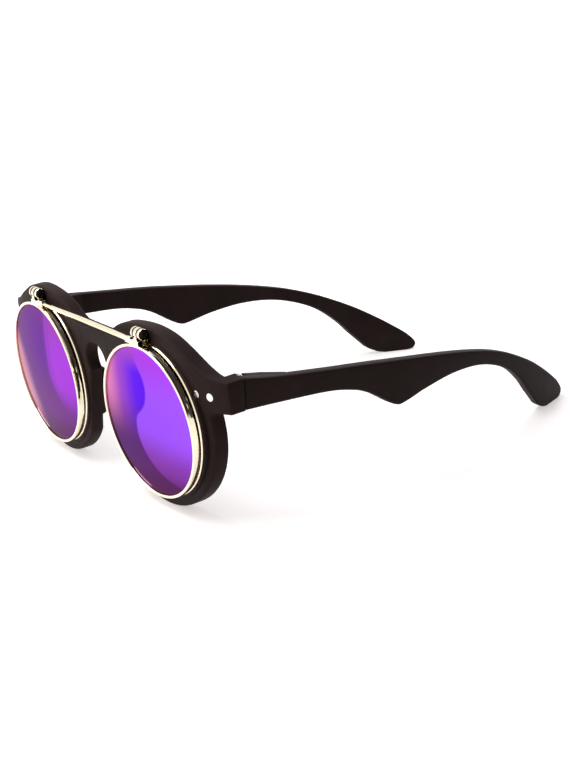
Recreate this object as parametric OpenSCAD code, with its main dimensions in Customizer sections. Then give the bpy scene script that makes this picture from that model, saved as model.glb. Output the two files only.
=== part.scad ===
// Round flip-up sunglasses: a moulded front with two fixed lenses, a hinged metal pair of
// mirrored lenses in front of them, and two folding temples.
// Millimetres. x = 0 is the mid-plane, the front looks towards -y, and the glasses rest on z = 0.

/* [Lenses] */
// Diameter of the mirrored lens that shows inside its metal rim
lens_d = 48; // [46:0.5:50]
// How far each lens turns outwards, in degrees
lens_wrap = 2.5; // [1.5:0.25:3.5]
// Thickness of the mirrored lens
flip_lens_t = 1.2; // [1:0.1:1.4]
// Radius of the mirrored lens's dome
flip_lens_base = 300; // [200:10:400]
// How far the mirrored lens reaches into its groove
flip_bite = 0.35; // [0.25:0.05:0.5]
// Thickness of the fixed dark lens
rear_lens_t = 1.6; // [1.3:0.1:1.8]
// Radius of the fixed lens's dome
rear_lens_base = 300; // [200:10:400]
// How far the fixed lens reaches into its groove
rear_bite = 0.8; // [0.5:0.05:1]

/* [Front] */
// Overall width of the front across its endpieces
front_w = 139; // [137:0.5:145]
// How far each endpiece stands out beyond the round rim beside it
endpiece_reach = 6.4; // [5.8:0.1:7]
// Thickness of the front at the bridge
front_t = 4.6; // [4.3:0.1:5.4]
// Width of the plastic rim outside its opening
rim_w = 5; // [4.6:0.1:5.6]
// How far the brow rises above the rim
brow_rise = 1.1; // [0.5:0.1:2]
// Backward tilt of the front's foot, in degrees
front_tilt = 3.4; // [2:0.1:5]
// Radius of the face's curve across the lenses
face_r = 700; // [550:10:900]
// Width of the part that sweeps back at each end
sweep_w = 15.5; // [14:0.5:17]
// Radius of that sweep
sweep_r = 43; // [38:1:60]
// Turn of the face where the sweep begins, in degrees
sweep_kink = 1; // [0.5:0.25:3]
// Radius of the front's back surface
back_r = 480; // [420:10:600]
// Height of the bridge's top edge above the lens centres
bridge_top = 23; // [21.5:0.5:24]
// Height of the endpiece's top edge above the lens centres
endpiece_top = 18; // [17:0.2:19]
// Height of the endpiece
endpiece_h = 9.9; // [9.4:0.1:10.6]
// Depth of the endpiece from its front corner to the temple joint
endpiece_d = 5.7; // [5.2:0.1:7]
// Thickness of the endpiece's side wall
endpiece_wall = 4.5; // [4:0.1:4.6]
// Radius of the corner under the endpiece
corner_r = 1.6; // [0.8:0.1:2]
// Radius of the keyhole's round head
keyhole_r = 6.4; // [5.4:0.1:6.8]
// Height of the keyhole's centre above the lens centres
keyhole_v = 10.8; // [10:0.1:12]
// Width of the nose opening at the lens centres
nose_gap = 13.5; // [12:0.1:14]
// Angle of the nose opening's sides from the vertical, in degrees
nose_flare = 15; // [12:0.5:17]
// Radius of the moulded nose pads
pad_r = 2.6; // [2:0.1:3]
// Length of a nose pad between the centres of its round ends
pad_l = 13; // [9:0.5:14]
// How far the nose pads stand behind the front
pad_proud = 2.8; // [1.6:0.1:3.4]

/* [Trim rings] */
// Radial width of the metal trim ring
trim_w = 1.1; // [0.9:0.05:1.2]
// How far the trim ring stands outside the eyewire in front of it
trim_over = 0.1; // [0:0.05:0.3]
// Least height of the raised seat in front of the curved face
seat_rise = 0.12; // [0.06:0.02:0.2]
// How far the trim ring stands in front of its seat
trim_proud = 0.65; // [0.4:0.05:0.75]
// How deep the trim ring is let into its seat
trim_seat = 1.25; // [0.8:0.05:1.4]
// Width of the raised plastic seat outside the trim ring
seat_w = 1; // [0.6:0.1:1.5]
// Width of the plastic lip that shows inside the trim ring
lip_w = 0.3; // [0.15:0.05:0.6]
// Thickness of the plastic between the trim ring and the fixed lens
lip_t = 1; // [0.8:0.05:1.2]

/* [Flip-up] */
// Radial width of the metal eyewire
eyewire_w = 0.9; // [0.8:0.05:1.1]
// Depth of the eyewire in front of the hinge axis
eyewire_front = 1.95; // [1.8:0.05:2.1]
// Depth of the eyewire behind the hinge axis
eyewire_back = 0.1; // [0:0.02:0.16]
// How far the mirrored lens's edge lies behind the eyewire's front
lens_recess = 0.6; // [0.5:0.05:0.65]
// Height of the hinge axis above the eyewire's top
hinge_rise = 3.3; // [3.2:0.05:3.6]
// Radius of the hinge knuckles
knuckle_r = 1.75; // [1.65:0.05:1.8]
// Clearance between the knuckles and the plastic behind them
knuckle_back = 0.15; // [0.1:0.05:0.3]
// Width of the flip-up's own knuckle
arm_w = 2.2; // [1.8:0.1:2.6]
// Width of each fixed ear
ear_w = 1.4; // [1.2:0.1:1.7]
// Side clearance between the knuckles
knuckle_gap = 0.12; // [0.05:0.01:0.2]
// Radius of the hinge screw's shank
flip_screw_r = 0.6; // [0.5:0.05:0.7]
// Radius of the hinge screw's head
flip_head_r = 1.15; // [1:0.05:1.2]
// Height of the hinge screw's head
flip_head_h = 0.45; // [0.35:0.05:0.6]
// Thickness of the hinge's foot on the plastic
foot_t = 0.85; // [0.75:0.05:1]
// Extra droop of the closed flip-up towards the front, in degrees
flip_droop = 0.8; // [0.4:0.1:0.85]
// Diameter of the brow bar
bar_d = 1.6; // [1.4:0.1:1.7]
// Depth of the fine line along the brow bar
bar_line = 0.12; // [0.08:0.02:0.2]
// Length of the solder block towards the nose, from the hinge's middle
block_l = 6.5; // [5.5:0.1:8]
// Width of the saw cut in the eyewire
saw_cut = 0.25; // [0.2:0.05:0.4]

/* [Temples] */
// Length of the temple along y
temple_l = 154.5; // [148:0.5:160]
// Thickness of the temple
temple_t = 4.5; // [4.1:0.1:5]
// Thickness of the temple's tip
tip_t = 3.5; // [3:0.1:4]
// Height of the slim part behind the hinge
slim_h = 7; // [6.4:0.1:8]
// Height of the deep part at mid-length
paddle_h = 14.7; // [13:0.1:16]
// Height of the thin part over the ear
neck_h = 5; // [4.6:0.1:6]
// Length of the turned-down end
tip_l = 31; // [28:0.5:34]
// Height of the top edge where the end turns down
bend_h = 24.2; // [22:0.2:26]
// Length of the straight front part
straight_l = 31.5; // [30:0.5:36]
// Radius of the inward curve
curl_r = 310; // [290:5:400]
// Gap between the endpiece and the temple
joint_gap = 0.3; // [0.2:0.05:0.5]
// How far the hinge block stands inside the temple
block_t = 2.7; // [2.5:0.1:3]
// Length of the hinge block
hinge_block_l = 14; // [13:0.5:16]

/* [Temple hinges] */
// Radius of the hinge knuckles
pivot_r = 1.6; // [1.4:0.05:1.7]
// Height of one hinge knuckle
pivot_h = 2.6; // [2.3:0.05:2.7]
// Clearance between the knuckles, and from them to the walls
pivot_gap = 0.1; // [0.05:0.01:0.15]
// Radius of the hinge screw's shank
pivot_screw_r = 0.7; // [0.55:0.05:0.8]
// Radius of the hinge screw's head
pivot_head_r = 1.2; // [1:0.05:1.35]
// Height of the hinge screw's head
pivot_head_h = 0.6; // [0.5:0.05:0.8]
// Thickness of the hinge leaves
leaf_t = 1.2; // [1:0.05:1.3]
// Length of the leaf on the front
front_leaf_l = 10; // [9.6:0.1:10.4]
// Length of the leaf in the temple
temple_leaf_l = 10; // [8.5:0.5:10.5]
// Radius of the rivet dots on the front
rivet_r = 1.25; // [1:0.05:1.4]
// Distance between the two rivet dots
rivet_pitch = 5.5; // [5:0.1:5.8]
// Radius of the rivets' shanks
rivet_shank_r = 0.8; // [0.6:0.05:0.9]
// Radius of the small screws in the temple leaf
leaf_screw_r = 0.5; // [0.4:0.05:0.6]
// Radial clearance of every turning screw
run_fit = 0.05; // [0.02:0.01:0.08]
// Clearance of every seated piece in its seat
seat_fit = 0.02; // [0.01:0.01:0.05]

/* [Hidden] */

plastic = [0.2, 0.16, 0.16];
gold = [0.93, 0.82, 0.58];
silver = [0.8, 0.8, 0.82];
mirror_violet = [0.55, 0.2, 0.95];
dark_tint = [0.12, 0.09, 0.12];

// Segments of wide curves, of rings and of small round pieces
fn_wide = 1440;
fn_ring = 240;
fn_small = 64;

// A length longer than half the front and than the temples are high
far = 100;

// Radii that follow from the lens
lens_r = lens_d / 2;
eyewire_r = lens_r + eyewire_w;
trim_r = eyewire_r + trim_over;
trim_in = trim_r - trim_w;
opening_r = trim_in - lip_w;
rim_r = opening_r + rim_w;
brow_r = rim_r + brow_rise;
raised_r = trim_r + seat_w;
flip_edge_r = lens_r + flip_bite;
rear_edge_r = opening_r + rear_bite;

// Distance between the two lens centres, which follows the front's width
end_x = front_w / 2;
lens_spacing = front_w - 2 * (rim_r + endpiece_reach);
lens_x = lens_spacing / 2;

// The face's plan curve: a wide arc, then a tighter arc that sweeps back at each end
sweep_x = end_x - sweep_w;
sweep_turn = asin(sweep_x / face_r) + sweep_kink;
sweep_cx = sweep_x - sweep_r * sin(sweep_turn);
sweep_cw = sag(face_r, sweep_x) + sweep_r * cos(sweep_turn);
sweep_start = sweep_x - sweep_r * sin(sweep_kink);
wall_x = end_x - endpiece_wall;

// Depth of the face behind the bridge's face at a given x, and the direction it looks in
function face_w(x) = x <= sweep_x
    ? face_r - sqrt(face_r * face_r - x * x)
    : sweep_cw - sqrt(sweep_r * sweep_r - pow(x - sweep_cx, 2));
function face_turn(x) = x <= sweep_x ? asin(x / face_r) : asin((x - sweep_cx) / sweep_r);

// The same for the back surface
function back_w(x) = front_t + back_r - sqrt(back_r * back_r - x * x);
function back_turn(x) = asin(x / back_r);

// Depth of a dome between its middle and a given radius
function sag(base, r) = base - sqrt(base * base - r * r);

// Height of the lens centres, so that the tilted rims rest on z = 0
seat_depth = face_w(lens_x);
lens_z = rim_r * cos(front_tilt) - seat_depth * sin(front_tilt);

// The flip-up's hinge axis in the front's tilted frame
hinge_v = eyewire_r + hinge_rise;
hinge_w = seat_depth - knuckle_r - knuckle_back;
flip_tilt = front_tilt + flip_droop;

// Places along y before the model is centred: the endpiece's corner, the joint, and both ends
endpiece_low = endpiece_top - endpiece_h;
corner_y = face_w(end_x) * cos(front_tilt) - endpiece_top * sin(front_tilt);
joint_raw = corner_y + endpiece_d;
hinge_raw = hinge_w * cos(front_tilt) - hinge_v * sin(front_tilt);
rim_lean = sqrt(pow(sin(flip_tilt), 2) + pow(sin(lens_wrap) * cos(flip_tilt), 2));
nearest_raw = hinge_raw - eyewire_front * cos(lens_wrap) * cos(flip_tilt)
    + hinge_v * sin(flip_tilt) - eyewire_r * rim_lean;
furthest_raw = joint_raw + joint_gap + temple_l;
front_y = -(nearest_raw + furthest_raw) / 2;
joint_y = front_y + joint_raw;
temple_y = joint_y + joint_gap;

// The temple's front end is flush with the endpiece at the joint
joint_w = (joint_raw + endpiece_top * sin(front_tilt)) / cos(front_tilt);
temple_top = lens_z + endpiece_top * cos(front_tilt) + joint_w * sin(front_tilt);
temple_h = endpiece_h * cos(front_tilt);

// The temple's hinge pin stands beside the joint, inside the wall
pivot_x = wall_x - pivot_gap - pivot_r;
pivot_y = joint_y + pivot_r;
pivot_z = temple_top - temple_h / 2;
pivot_half = 1.5 * pivot_h + pivot_gap;
block_y = pivot_y + pivot_r + 0.4;

// A smooth curve through hand-chosen points, with n steps between each pair
function blend(a, b, c, d, t) = 0.5 * (2 * b + (c - a) * t
    + (2 * a - 5 * b + 4 * c - d) * t * t + (3 * b - a - 3 * c + d) * t * t * t);
function curve(p, n) = concat(
    [for (i = [0:len(p) - 2], k = [0:n - 1])
        blend(p[max(i - 1, 0)], p[i], p[i + 1], p[min(i + 2, len(p) - 1)], k / n)],
    [p[len(p) - 1]]);

// Top edge of the front's right half: bridge, brow, then down to the endpiece
brow_edge = [
    [keyhole_r + 2.4, bridge_top],
    [lens_x - 21.5, brow_r - 5.1],
    [lens_x - 17, brow_r - 2.7],
    [lens_x - 11.5, brow_r - 0.9],
    [lens_x - 3.5, brow_r],
    [lens_x + 3.5, brow_r - 0.1],
    [lens_x + 10.5, brow_r - 1.5],
    [lens_x + 16.5, brow_r - 4.1],
    [end_x - 13.5, endpiece_top + 4.8],
    [end_x - 9.5, endpiece_top + 2.6],
    [end_x - 5.5, endpiece_top + 1],
    [end_x, endpiece_top]
];

// Transforms

// The front's frame: x across, y backwards through the plastic, z up the tilted face
module at_front() {
    translate([0, front_y, lens_z]) rotate([front_tilt, 0, 0]) children();
}

// A fixed lens's frame: z runs backwards along the lens axis from the raised seat
module at_lens(side) {
    at_front() translate([side * lens_x, seat_depth - seat_rise, 0]) rotate([0, 0, side * lens_wrap])
        rotate([-90, 0, 0]) children();
}

// The flip-up's frame: x along its hinge axis, y backwards, z up
module at_flip() {
    at_front() translate([0, hinge_w, hinge_v]) rotate([flip_droop, 0, 0]) children();
}

// A mirrored lens's frame: z runs backwards along the lens axis, level with the hinge axis
module at_flip_lens(side) {
    at_flip() translate([side * lens_x, 0, -hinge_v]) rotate([0, 0, side * lens_wrap])
        rotate([-90, 0, 0]) children();
}

// The right side as drawn, or its mirror image
module on_side(side) {
    if (side > 0) children();
    else mirror([1, 0, 0]) children();
}

// Shared shapes

// A tube whose axis is z, from z0 to z1
module tube(r_out, r_in, z0, z1) {
    difference() {
        translate([0, 0, z0]) cylinder(r = r_out, h = z1 - z0, $fn = fn_ring);
        translate([0, 0, z0 - 1]) cylinder(r = r_in, h = z1 - z0 + 2, $fn = fn_ring);
    }
}

// A thin dome, cut to radius r, whose edge runs from z = 0 to t and whose middle stands forward
module dome(r, t, base) {
    depth = sag(base, r);
    intersection() {
        translate([0, 0, -2 * depth]) cylinder(r = r, h = 4 * depth + t, $fn = fn_ring);
        difference() {
            translate([0, 0, base - depth]) sphere(r = base, $fn = fn_wide / 2);
            translate([0, 0, base - depth + t]) sphere(r = base, $fn = fn_wide / 2);
        }
    }
}

// Cylinder along x, from x0 to x1
module rod_x(r, x0, x1) {
    translate([x0, 0, 0]) rotate([0, 90, 0]) cylinder(r = r, h = x1 - x0, $fn = fn_small);
}

// A box given by its two corners
module box(a, b) {
    translate(a) cube(b - a);
}

// A slotted head: its flat face is at z = 0 and the head reaches down to -h
module slotted_head(r, h, slot) {
    difference() {
        translate([0, 0, -h]) cylinder(r = r, h = h, $fn = fn_small);
        translate([-r - 1, -slot / 2, -0.5 * h]) cube([2 * r + 2, slot, h]);
    }
}

// Front

// Everything behind the face's wide arc
module behind_wide_arc() {
    translate([0, face_r, -far / 2]) cylinder(r = face_r, h = far, $fn = fn_wide);
}

// What the sweep takes away in front of one end
module before_sweep(side) {
    difference() {
        translate([side > 0 ? sweep_start : -far, -far / 4, -far / 2])
            cube([far - sweep_start, sweep_cw + far / 4, far]);
        translate([side * sweep_cx, sweep_cw, -far]) cylinder(r = sweep_r, h = 2 * far, $fn = fn_ring);
    }
}

// The hollow behind the front, between the side walls
module behind_back() {
    intersection() {
        translate([0, front_t + back_r, -far / 2]) cylinder(r = back_r, h = far, $fn = fn_wide);
        translate([-wall_x, 0, -far / 2]) cube([2 * wall_x, far, far]);
    }
}

// A prism that runs through the front, with the given outline in x and z
module through_front() {
    translate([0, far / 2, 0]) rotate([90, 0, 0]) linear_extrude(far) children();
}

// Edge of the right half's brow and endpiece, from the bridge round to the rim under the endpiece
corner_v = endpiece_low - corner_r;
corner_reach = sqrt(pow(rim_r + corner_r, 2) - pow(corner_v, 2));
corner_turn = atan2(corner_v, corner_reach);
brow_half = concat(
    curve(brow_edge, 5),
    [[end_x, endpiece_low]],
    [for (i = [0:6]) let (a = 90 + i * (90 + corner_turn) / 6)
        [lens_x + corner_reach + corner_r * cos(a), corner_v + corner_r * sin(a)]],
    [[lens_x + (rim_r - 1) * cos(corner_turn), (rim_r - 1) * sin(corner_turn)], [lens_x, 0]]);

// The front's outline as a prism: the brow with both endpieces, and the two round rims
module front_prism() {
    through_front() polygon(concat(
        brow_half,
        [for (i = [len(brow_half) - 1:-1:0]) [-brow_half[i][0], brow_half[i][1]]]));
    for (side = [-1, 1]) translate([side * lens_x, far / 2, 0]) rotate([90, 0, 0])
        cylinder(r = rim_r, h = far, $fn = fn_ring);
}

// The keyhole and the nose opening below it
module nose_outline() {
    slope = tan(nose_flare);
    top_v = keyhole_v - keyhole_r / 2;
    low_v = -rim_r - 5;
    translate([0, keyhole_v]) circle(r = keyhole_r, $fn = fn_ring);
    polygon([
        [-nose_gap / 2 + top_v * slope, top_v], [nose_gap / 2 - top_v * slope, top_v],
        [nose_gap / 2 - low_v * slope, low_v], [-nose_gap / 2 + low_v * slope, low_v]]);
}

// A moulded nose pad: a round-ended bar on the back, along the nose opening's side
module nose_pad() {
    top_v = 3.5;
    top_x = nose_gap / 2 - top_v * tan(nose_flare) + pad_r / cos(nose_flare) + 0.1;
    translate([top_x, back_w(top_x) + pad_proud - pad_r, top_v]) rotate([0, -nose_flare, 0]) {
        sphere(r = pad_r, $fn = fn_small);
        translate([0, 0, -pad_l]) cylinder(r = pad_r, h = pad_l, $fn = fn_small);
        translate([0, 0, -pad_l]) sphere(r = pad_r, $fn = fn_small);
    }
}

// The opening for one lens, with the trim ring's seat and the fixed lens's groove
rear_lens_z = trim_seat + lip_t;
module lens_cut() {
    rise = sag(rear_lens_base, rear_edge_r) - sag(rear_lens_base, opening_r);
    seat = trim_r + seat_fit;
    groove = rear_edge_r + seat_fit;
    rotate_extrude($fn = fn_ring) polygon([
        [0, -20], [seat, -20], [seat, trim_seat], [opening_r, trim_seat],
        [opening_r, rear_lens_z - rise], [groove, rear_lens_z - rise],
        [groove, rear_lens_z + rear_lens_t], [opening_r, rear_lens_z + rear_lens_t],
        [opening_r, 20], [0, 20]]);
}

// Rivet places on the right endpiece, seen from the front, from the nose side outwards
rivet_v = (endpiece_top + endpiece_low) / 2;
rivet_x = [end_x - 6.5 - rivet_pitch, end_x - 6.5];
rivet_proud = 0.12;
rivet_head_h = 0.8;

// A rivet's frame: z points out of the face
module at_rivet(i) {
    at_front() translate([rivet_x[i], face_w(rivet_x[i]), rivet_v])
        rotate([0, 0, face_turn(rivet_x[i])]) rotate([90, 0, 0]) children();
}

// The flat land for the hinge leaf: x along the leaf, y out of the back surface, z up
leaf_x = wall_x - pivot_gap - front_leaf_l / 2;
module at_land() {
    at_front() translate([leaf_x, back_w(leaf_x), rivet_v]) rotate([0, 0, back_turn(leaf_x)])
        children();
}

// The screw that holds the flip-up's hinge, driven from behind: z points backwards
base_screw_r = 0.5;
base_head_r = 1.1;
base_head_h = 0.8;
foot_v0 = trim_r + seat_fit;
base_screw_v = foot_v0 + 0.9;
module at_base_screw() {
    at_front() translate([lens_x, back_w(lens_x), base_screw_v]) rotate([-90, 0, 0]) children();
}

module front_frame() {
    color(plastic) difference() {
        union() {
            at_front() difference() {
                intersection() {
                    front_prism();
                    behind_wide_arc();
                }
                before_sweep(1);
                before_sweep(-1);
                behind_back();
            }
            for (side = [-1, 1]) {
                at_lens(side) cylinder(r = raised_r, h = trim_seat + lip_t, $fn = fn_ring);
                on_side(side) at_front() nose_pad();
            }
        }
        translate([-far, joint_y, 0]) cube([2 * far, far, far]);
        at_front() through_front() nose_outline();
        for (side = [-1, 1]) {
            at_lens(side) lens_cut();
            on_side(side) {
                at_land() box([-front_leaf_l / 2 - 0.1, 0, -far / 2], [front_leaf_l / 2, 3, far / 2]);
                for (i = [0, 1]) at_rivet(i) {
                    translate([0, 0, -far / 8]) cylinder(r = rivet_shank_r + seat_fit, h = far / 8, $fn = fn_small);
                    translate([0, 0, -rivet_head_h]) cylinder(r = rivet_r + seat_fit, h = 3, $fn = fn_small);
                }
                at_base_screw() {
                    translate([0, 0, -far / 8]) cylinder(r = base_screw_r + seat_fit, h = far / 8, $fn = fn_small);
                    translate([0, 0, -base_head_h]) cylinder(r = base_head_r + seat_fit, h = 5, $fn = fn_small);
                }
            }
        }
    }
}

module rear_lens(side) {
    color(dark_tint) at_lens(side) translate([0, 0, rear_lens_z])
        dome(rear_edge_r, rear_lens_t, rear_lens_base);
}

module trim_ring(side) {
    color(gold) at_lens(side) tube(trim_r, trim_in, -trim_proud, trim_seat);
}

// Flip-up hinges

// Half the width of the three knuckles together
stack = arm_w / 2 + knuckle_gap + ear_w;

// A hinge's frame in the closed position: x along the axis, y backwards, z up the face
module at_hinge(side) {
    at_front() translate([side * lens_x, hinge_w, hinge_v]) children();
}

module hinge_base(side) {
    face = knuckle_r + knuckle_back;
    foot_w = face - foot_t;
    foot_top = -sqrt(face * face - foot_w * foot_w);
    web = 0.55;
    color(gold) difference() {
        union() {
            at_hinge(side) {
                for (x0 = [-stack, arm_w / 2 + knuckle_gap]) {
                    rod_x(knuckle_r, x0, x0 + ear_w);
                    box([x0, web, foot_v0 - hinge_v], [x0 + ear_w, knuckle_r, 0]);
                }
                box([-stack, foot_w, foot_v0 - hinge_v], [stack, face + 1, foot_top]);
            }
        }
        at_front() behind_wide_arc();
        at_lens(side) cylinder(r = raised_r, h = 3, $fn = fn_ring);
        at_lens(side) translate([0, 0, -5]) cylinder(r = trim_r + seat_fit, h = 10, $fn = fn_ring);
        at_hinge(side) {
            rod_x(flip_screw_r + run_fit, -stack - 1, stack + 1);
            rod_x(flip_head_r + run_fit, stack - flip_head_h, stack + 1);
        }
        on_side(side) at_base_screw() translate([0, 0, -back_w(lens_x) + seat_depth - 0.65])
            cylinder(r = base_screw_r + seat_fit, h = 3, $fn = fn_small);
    }
}

module base_screw(side) {
    reach = back_w(lens_x) - seat_depth + 0.65;
    color(silver) on_side(side) at_base_screw() {
        translate([0, 0, -0.15]) slotted_head(base_head_r, base_head_h - 0.15, 0.35);
        translate([0, 0, -reach]) cylinder(r = base_screw_r, h = reach - base_head_h, $fn = fn_small);
    }
}

module flip_screw(side) {
    color(gold) at_hinge(side) {
        translate([stack - 0.05, 0, 0]) rotate([0, 90, 0])
            slotted_head(flip_head_r, flip_head_h - 0.05, 0.35);
        rod_x(flip_screw_r, -stack, stack - flip_head_h);
    }
}

// Heights and depths of the solder block, measured from the hinge axis
block_top = knuckle_r + 0.25;
block_low = hinge_rise + 0.3;
block_w0 = eyewire_front - 0.05;
block_w1 = 0.1;
bar_w = (block_w0 + block_w1) / 2;
bar_v = block_top + bar_d / 2 - 0.2;
bar_x = lens_x - block_l;
bar_seat = 1;

module flip_arm(side) {
    nose = -side;
    color(gold) difference() {
        union() {
            at_flip() translate([side * lens_x, 0, 0]) {
                rod_x(knuckle_r, -arm_w / 2, arm_w / 2);
                box([-arm_w / 2, -knuckle_r, -block_top - 0.4], [arm_w / 2, -block_w1, 0]);
                box([min(-nose * 1.6, nose * block_l), -block_w0, -block_low],
                    [max(-nose * 1.6, nose * block_l), -block_w1, -block_top]);
                box([min(nose * 3.2, nose * block_l), -block_w0, -block_low],
                    [max(nose * 3.2, nose * block_l), -block_w1, -bar_v + bar_d / 2 + 0.25]);
            }
        }
        at_flip() translate([side * lens_x, 0, 0]) rod_x(flip_screw_r + run_fit, -far / 8, far / 8);
        at_flip_lens(side) translate([0, 0, -5])
            cylinder(r = eyewire_r + seat_fit, h = 10, $fn = fn_ring);
        at_flip() translate([0, -bar_w, -bar_v])
            rod_x(bar_d / 2 + seat_fit, -bar_x - bar_seat, bar_x + bar_seat);
    }
}

module flip_rim(side) {
    lens_z0 = -eyewire_front + lens_recess;
    rise = sag(flip_lens_base, flip_edge_r) - sag(flip_lens_base, lens_r);
    color(gold) at_flip_lens(side) difference() {
        tube(eyewire_r, lens_r, -eyewire_front, eyewire_back);
        translate([0, 0, lens_z0 - rise])
            cylinder(r = flip_edge_r + seat_fit, h = flip_lens_t + rise, $fn = fn_ring);
        rotate([0, 0, 9.5]) translate([-saw_cut / 2, -eyewire_r - 1, -5]) cube([saw_cut, 3, 10]);
    }
}

module flip_lens(side) {
    color(mirror_violet) at_flip_lens(side) translate([0, 0, -eyewire_front + lens_recess])
        dome(flip_edge_r, flip_lens_t, flip_lens_base);
}

module brow_bar() {
    end = bar_x + bar_seat;
    color(gold) at_flip() translate([0, -bar_w, -bar_v]) difference() {
        rod_x(bar_d / 2, -end, end);
        box([-bar_x, -bar_d, -0.1], [bar_x, -bar_d / 2 + bar_line, 0.1]);
    }
}

// Temple hinges

// The pin's frame: z is the pin's axis, with z = 0 at the middle knuckle's middle
module at_pivot() {
    translate([pivot_x, pivot_y, pivot_z]) children();
}

module front_leaf(side) {
    low = -endpiece_h / 2 + 0.8;
    color(silver) on_side(side) difference() {
        union() {
            at_land() box([-front_leaf_l / 2, 0, low], [front_leaf_l / 2, leaf_t, -low]);
            at_pivot() for (z0 = [-pivot_half, pivot_half - pivot_h]) {
                translate([0, 0, z0]) cylinder(r = pivot_r, h = pivot_h, $fn = fn_small);
                box([-pivot_r + 0.1, -8, z0], [pivot_r, 0, z0 + pivot_h]);
            }
        }
        at_land() box([-far / 4, -far / 4, -far / 4], [far / 4, 0, far / 4]);
        at_pivot() translate([0, 0, -far / 4])
            cylinder(r = pivot_screw_r + run_fit, h = far / 2, $fn = fn_small);
        for (i = [0, 1]) at_rivet(i) translate([0, 0, -far / 8])
            cylinder(r = rivet_shank_r + seat_fit, h = far / 8, $fn = fn_small);
    }
}

module front_rivets(side) {
    color(silver) on_side(side) difference() {
        for (i = [0, 1]) at_rivet(i) {
            translate([0, 0, -rivet_head_h])
                cylinder(r = rivet_r, h = rivet_head_h + rivet_proud, $fn = fn_small);
            translate([0, 0, -far / 10]) cylinder(r = rivet_shank_r, h = far / 10 - rivet_head_h, $fn = fn_small);
        }
        at_land() box([-far / 4, leaf_t, -far / 4], [far / 4, far / 4, far / 4]);
    }
}

module pivot_screw(side) {
    color(silver) on_side(side) at_pivot() {
        translate([0, 0, pivot_half + pivot_head_h]) slotted_head(pivot_head_r, pivot_head_h, 0.4);
        translate([0, 0, -pivot_half]) cylinder(r = pivot_screw_r, h = 2 * pivot_half, $fn = fn_small);
    }
}

// Temples

// Along the arm: share of its length, share of the top edge's fall, and the arm's height
arm_l = temple_l - tip_l;
arm_line = [
    [0, 1, temple_h],
    [0.093, 0.916, slim_h + 0.43 * (temple_h - slim_h)],
    [0.243, 0.826, slim_h],
    [0.32, 0.784, slim_h + 0.1 * (paddle_h - slim_h)],
    [0.36, 0.76, slim_h + 0.26 * (paddle_h - slim_h)],
    [0.397, 0.738, slim_h + 0.52 * (paddle_h - slim_h)],
    [0.437, 0.709, slim_h + 0.85 * (paddle_h - slim_h)],
    [0.462, 0.692, paddle_h],
    [0.482, 0.678, paddle_h],
    [0.522, 0.648, neck_h + 0.825 * (paddle_h - neck_h)],
    [0.571, 0.612, neck_h + 0.6 * (paddle_h - neck_h)],
    [0.668, 0.529, neck_h + 0.24 * (paddle_h - neck_h)],
    [0.765, 0.427, neck_h + 0.3],
    [0.85, 0.312, neck_h],
    [0.935, 0.154, neck_h + 1],
    [1, 0, neck_h + 3.8]
];

// Along the turned-down end: shares of its length and of its height
tip_over = [[0.26, 0.83], [0.55, 0.603], [0.81, 0.372], [0.92, 0.256], [1, 0.124], [0.97, 0.025], [0.9, 0]];
tip_under = [[0.61, 0], [0.5, 0.033], [0.387, 0.116], [0.323, 0.198], [0.16, 0.413]];

function arm_top(p) = bend_h + p[1] * (temple_top - bend_h);
upper_edge = concat(
    [for (p = arm_line) [p[0] * arm_l, arm_top(p)]],
    [for (p = tip_over) [arm_l + p[0] * tip_l, p[1] * bend_h]]);
lower_edge = concat(
    [for (p = tip_under) [arm_l + p[0] * tip_l, p[1] * bend_h]],
    [for (i = [len(arm_line) - 1:-1:0]) [arm_line[i][0] * arm_l, arm_top(arm_line[i]) - arm_line[i][2]]]);

// The inner curve's radius brings the arm to the tip's thickness
curl_run = temple_l - straight_l;
curl_in = sag(curl_r, curl_run) + tip_t / cos(asin(curl_run / curl_r)) - temple_t;
inner_r = (curl_run * curl_run + curl_in * curl_in) / (2 * curl_in);
inner_x = end_x - temple_t;

// Points of a curve that runs straight back from x and then turns inwards with radius r
function inward(x, r, end_y) = [for (i = [0:20]) let (a = asin((end_y - straight_l) / r) * i / 20)
    [x - r + r * cos(a), straight_l + r * sin(a)]];

// Plan of the temple with its hinge block, with y from its front end
module temple_plan() {
    inner = inward(inner_x, inner_r, temple_l + 1);
    y0 = block_y - temple_y;
    polygon(concat(
        [[inner_x, 0], [end_x, 0]],
        inward(end_x, curl_r, temple_l + 1),
        [for (i = [len(inner) - 1:-1:0]) inner[i]],
        [[inner_x, y0 + hinge_block_l], [inner_x - block_t, y0 + hinge_block_l / 2],
         [inner_x - block_t, y0], [inner_x, y0]]));
}

// The leaf's place in the temple, and its two small screws
leaf_in = inner_x - leaf_t;
leaf_low = pivot_z - 3.2;
leaf_high = pivot_z + 1.6;
leaf_screw_y = [block_y + 2.8, block_y + 2.8 + 3.6];
leaf_screw_z = (leaf_low + leaf_high) / 2;
leaf_head_r = 0.9;
leaf_head_h = 0.4;
leaf_screw_reach = 1.5;

// A leaf screw's frame: z points inwards, out of the hinge block
module at_leaf_screw(i) {
    translate([inner_x - block_t, leaf_screw_y[i], leaf_screw_z]) rotate([0, -90, 0]) children();
}

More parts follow.
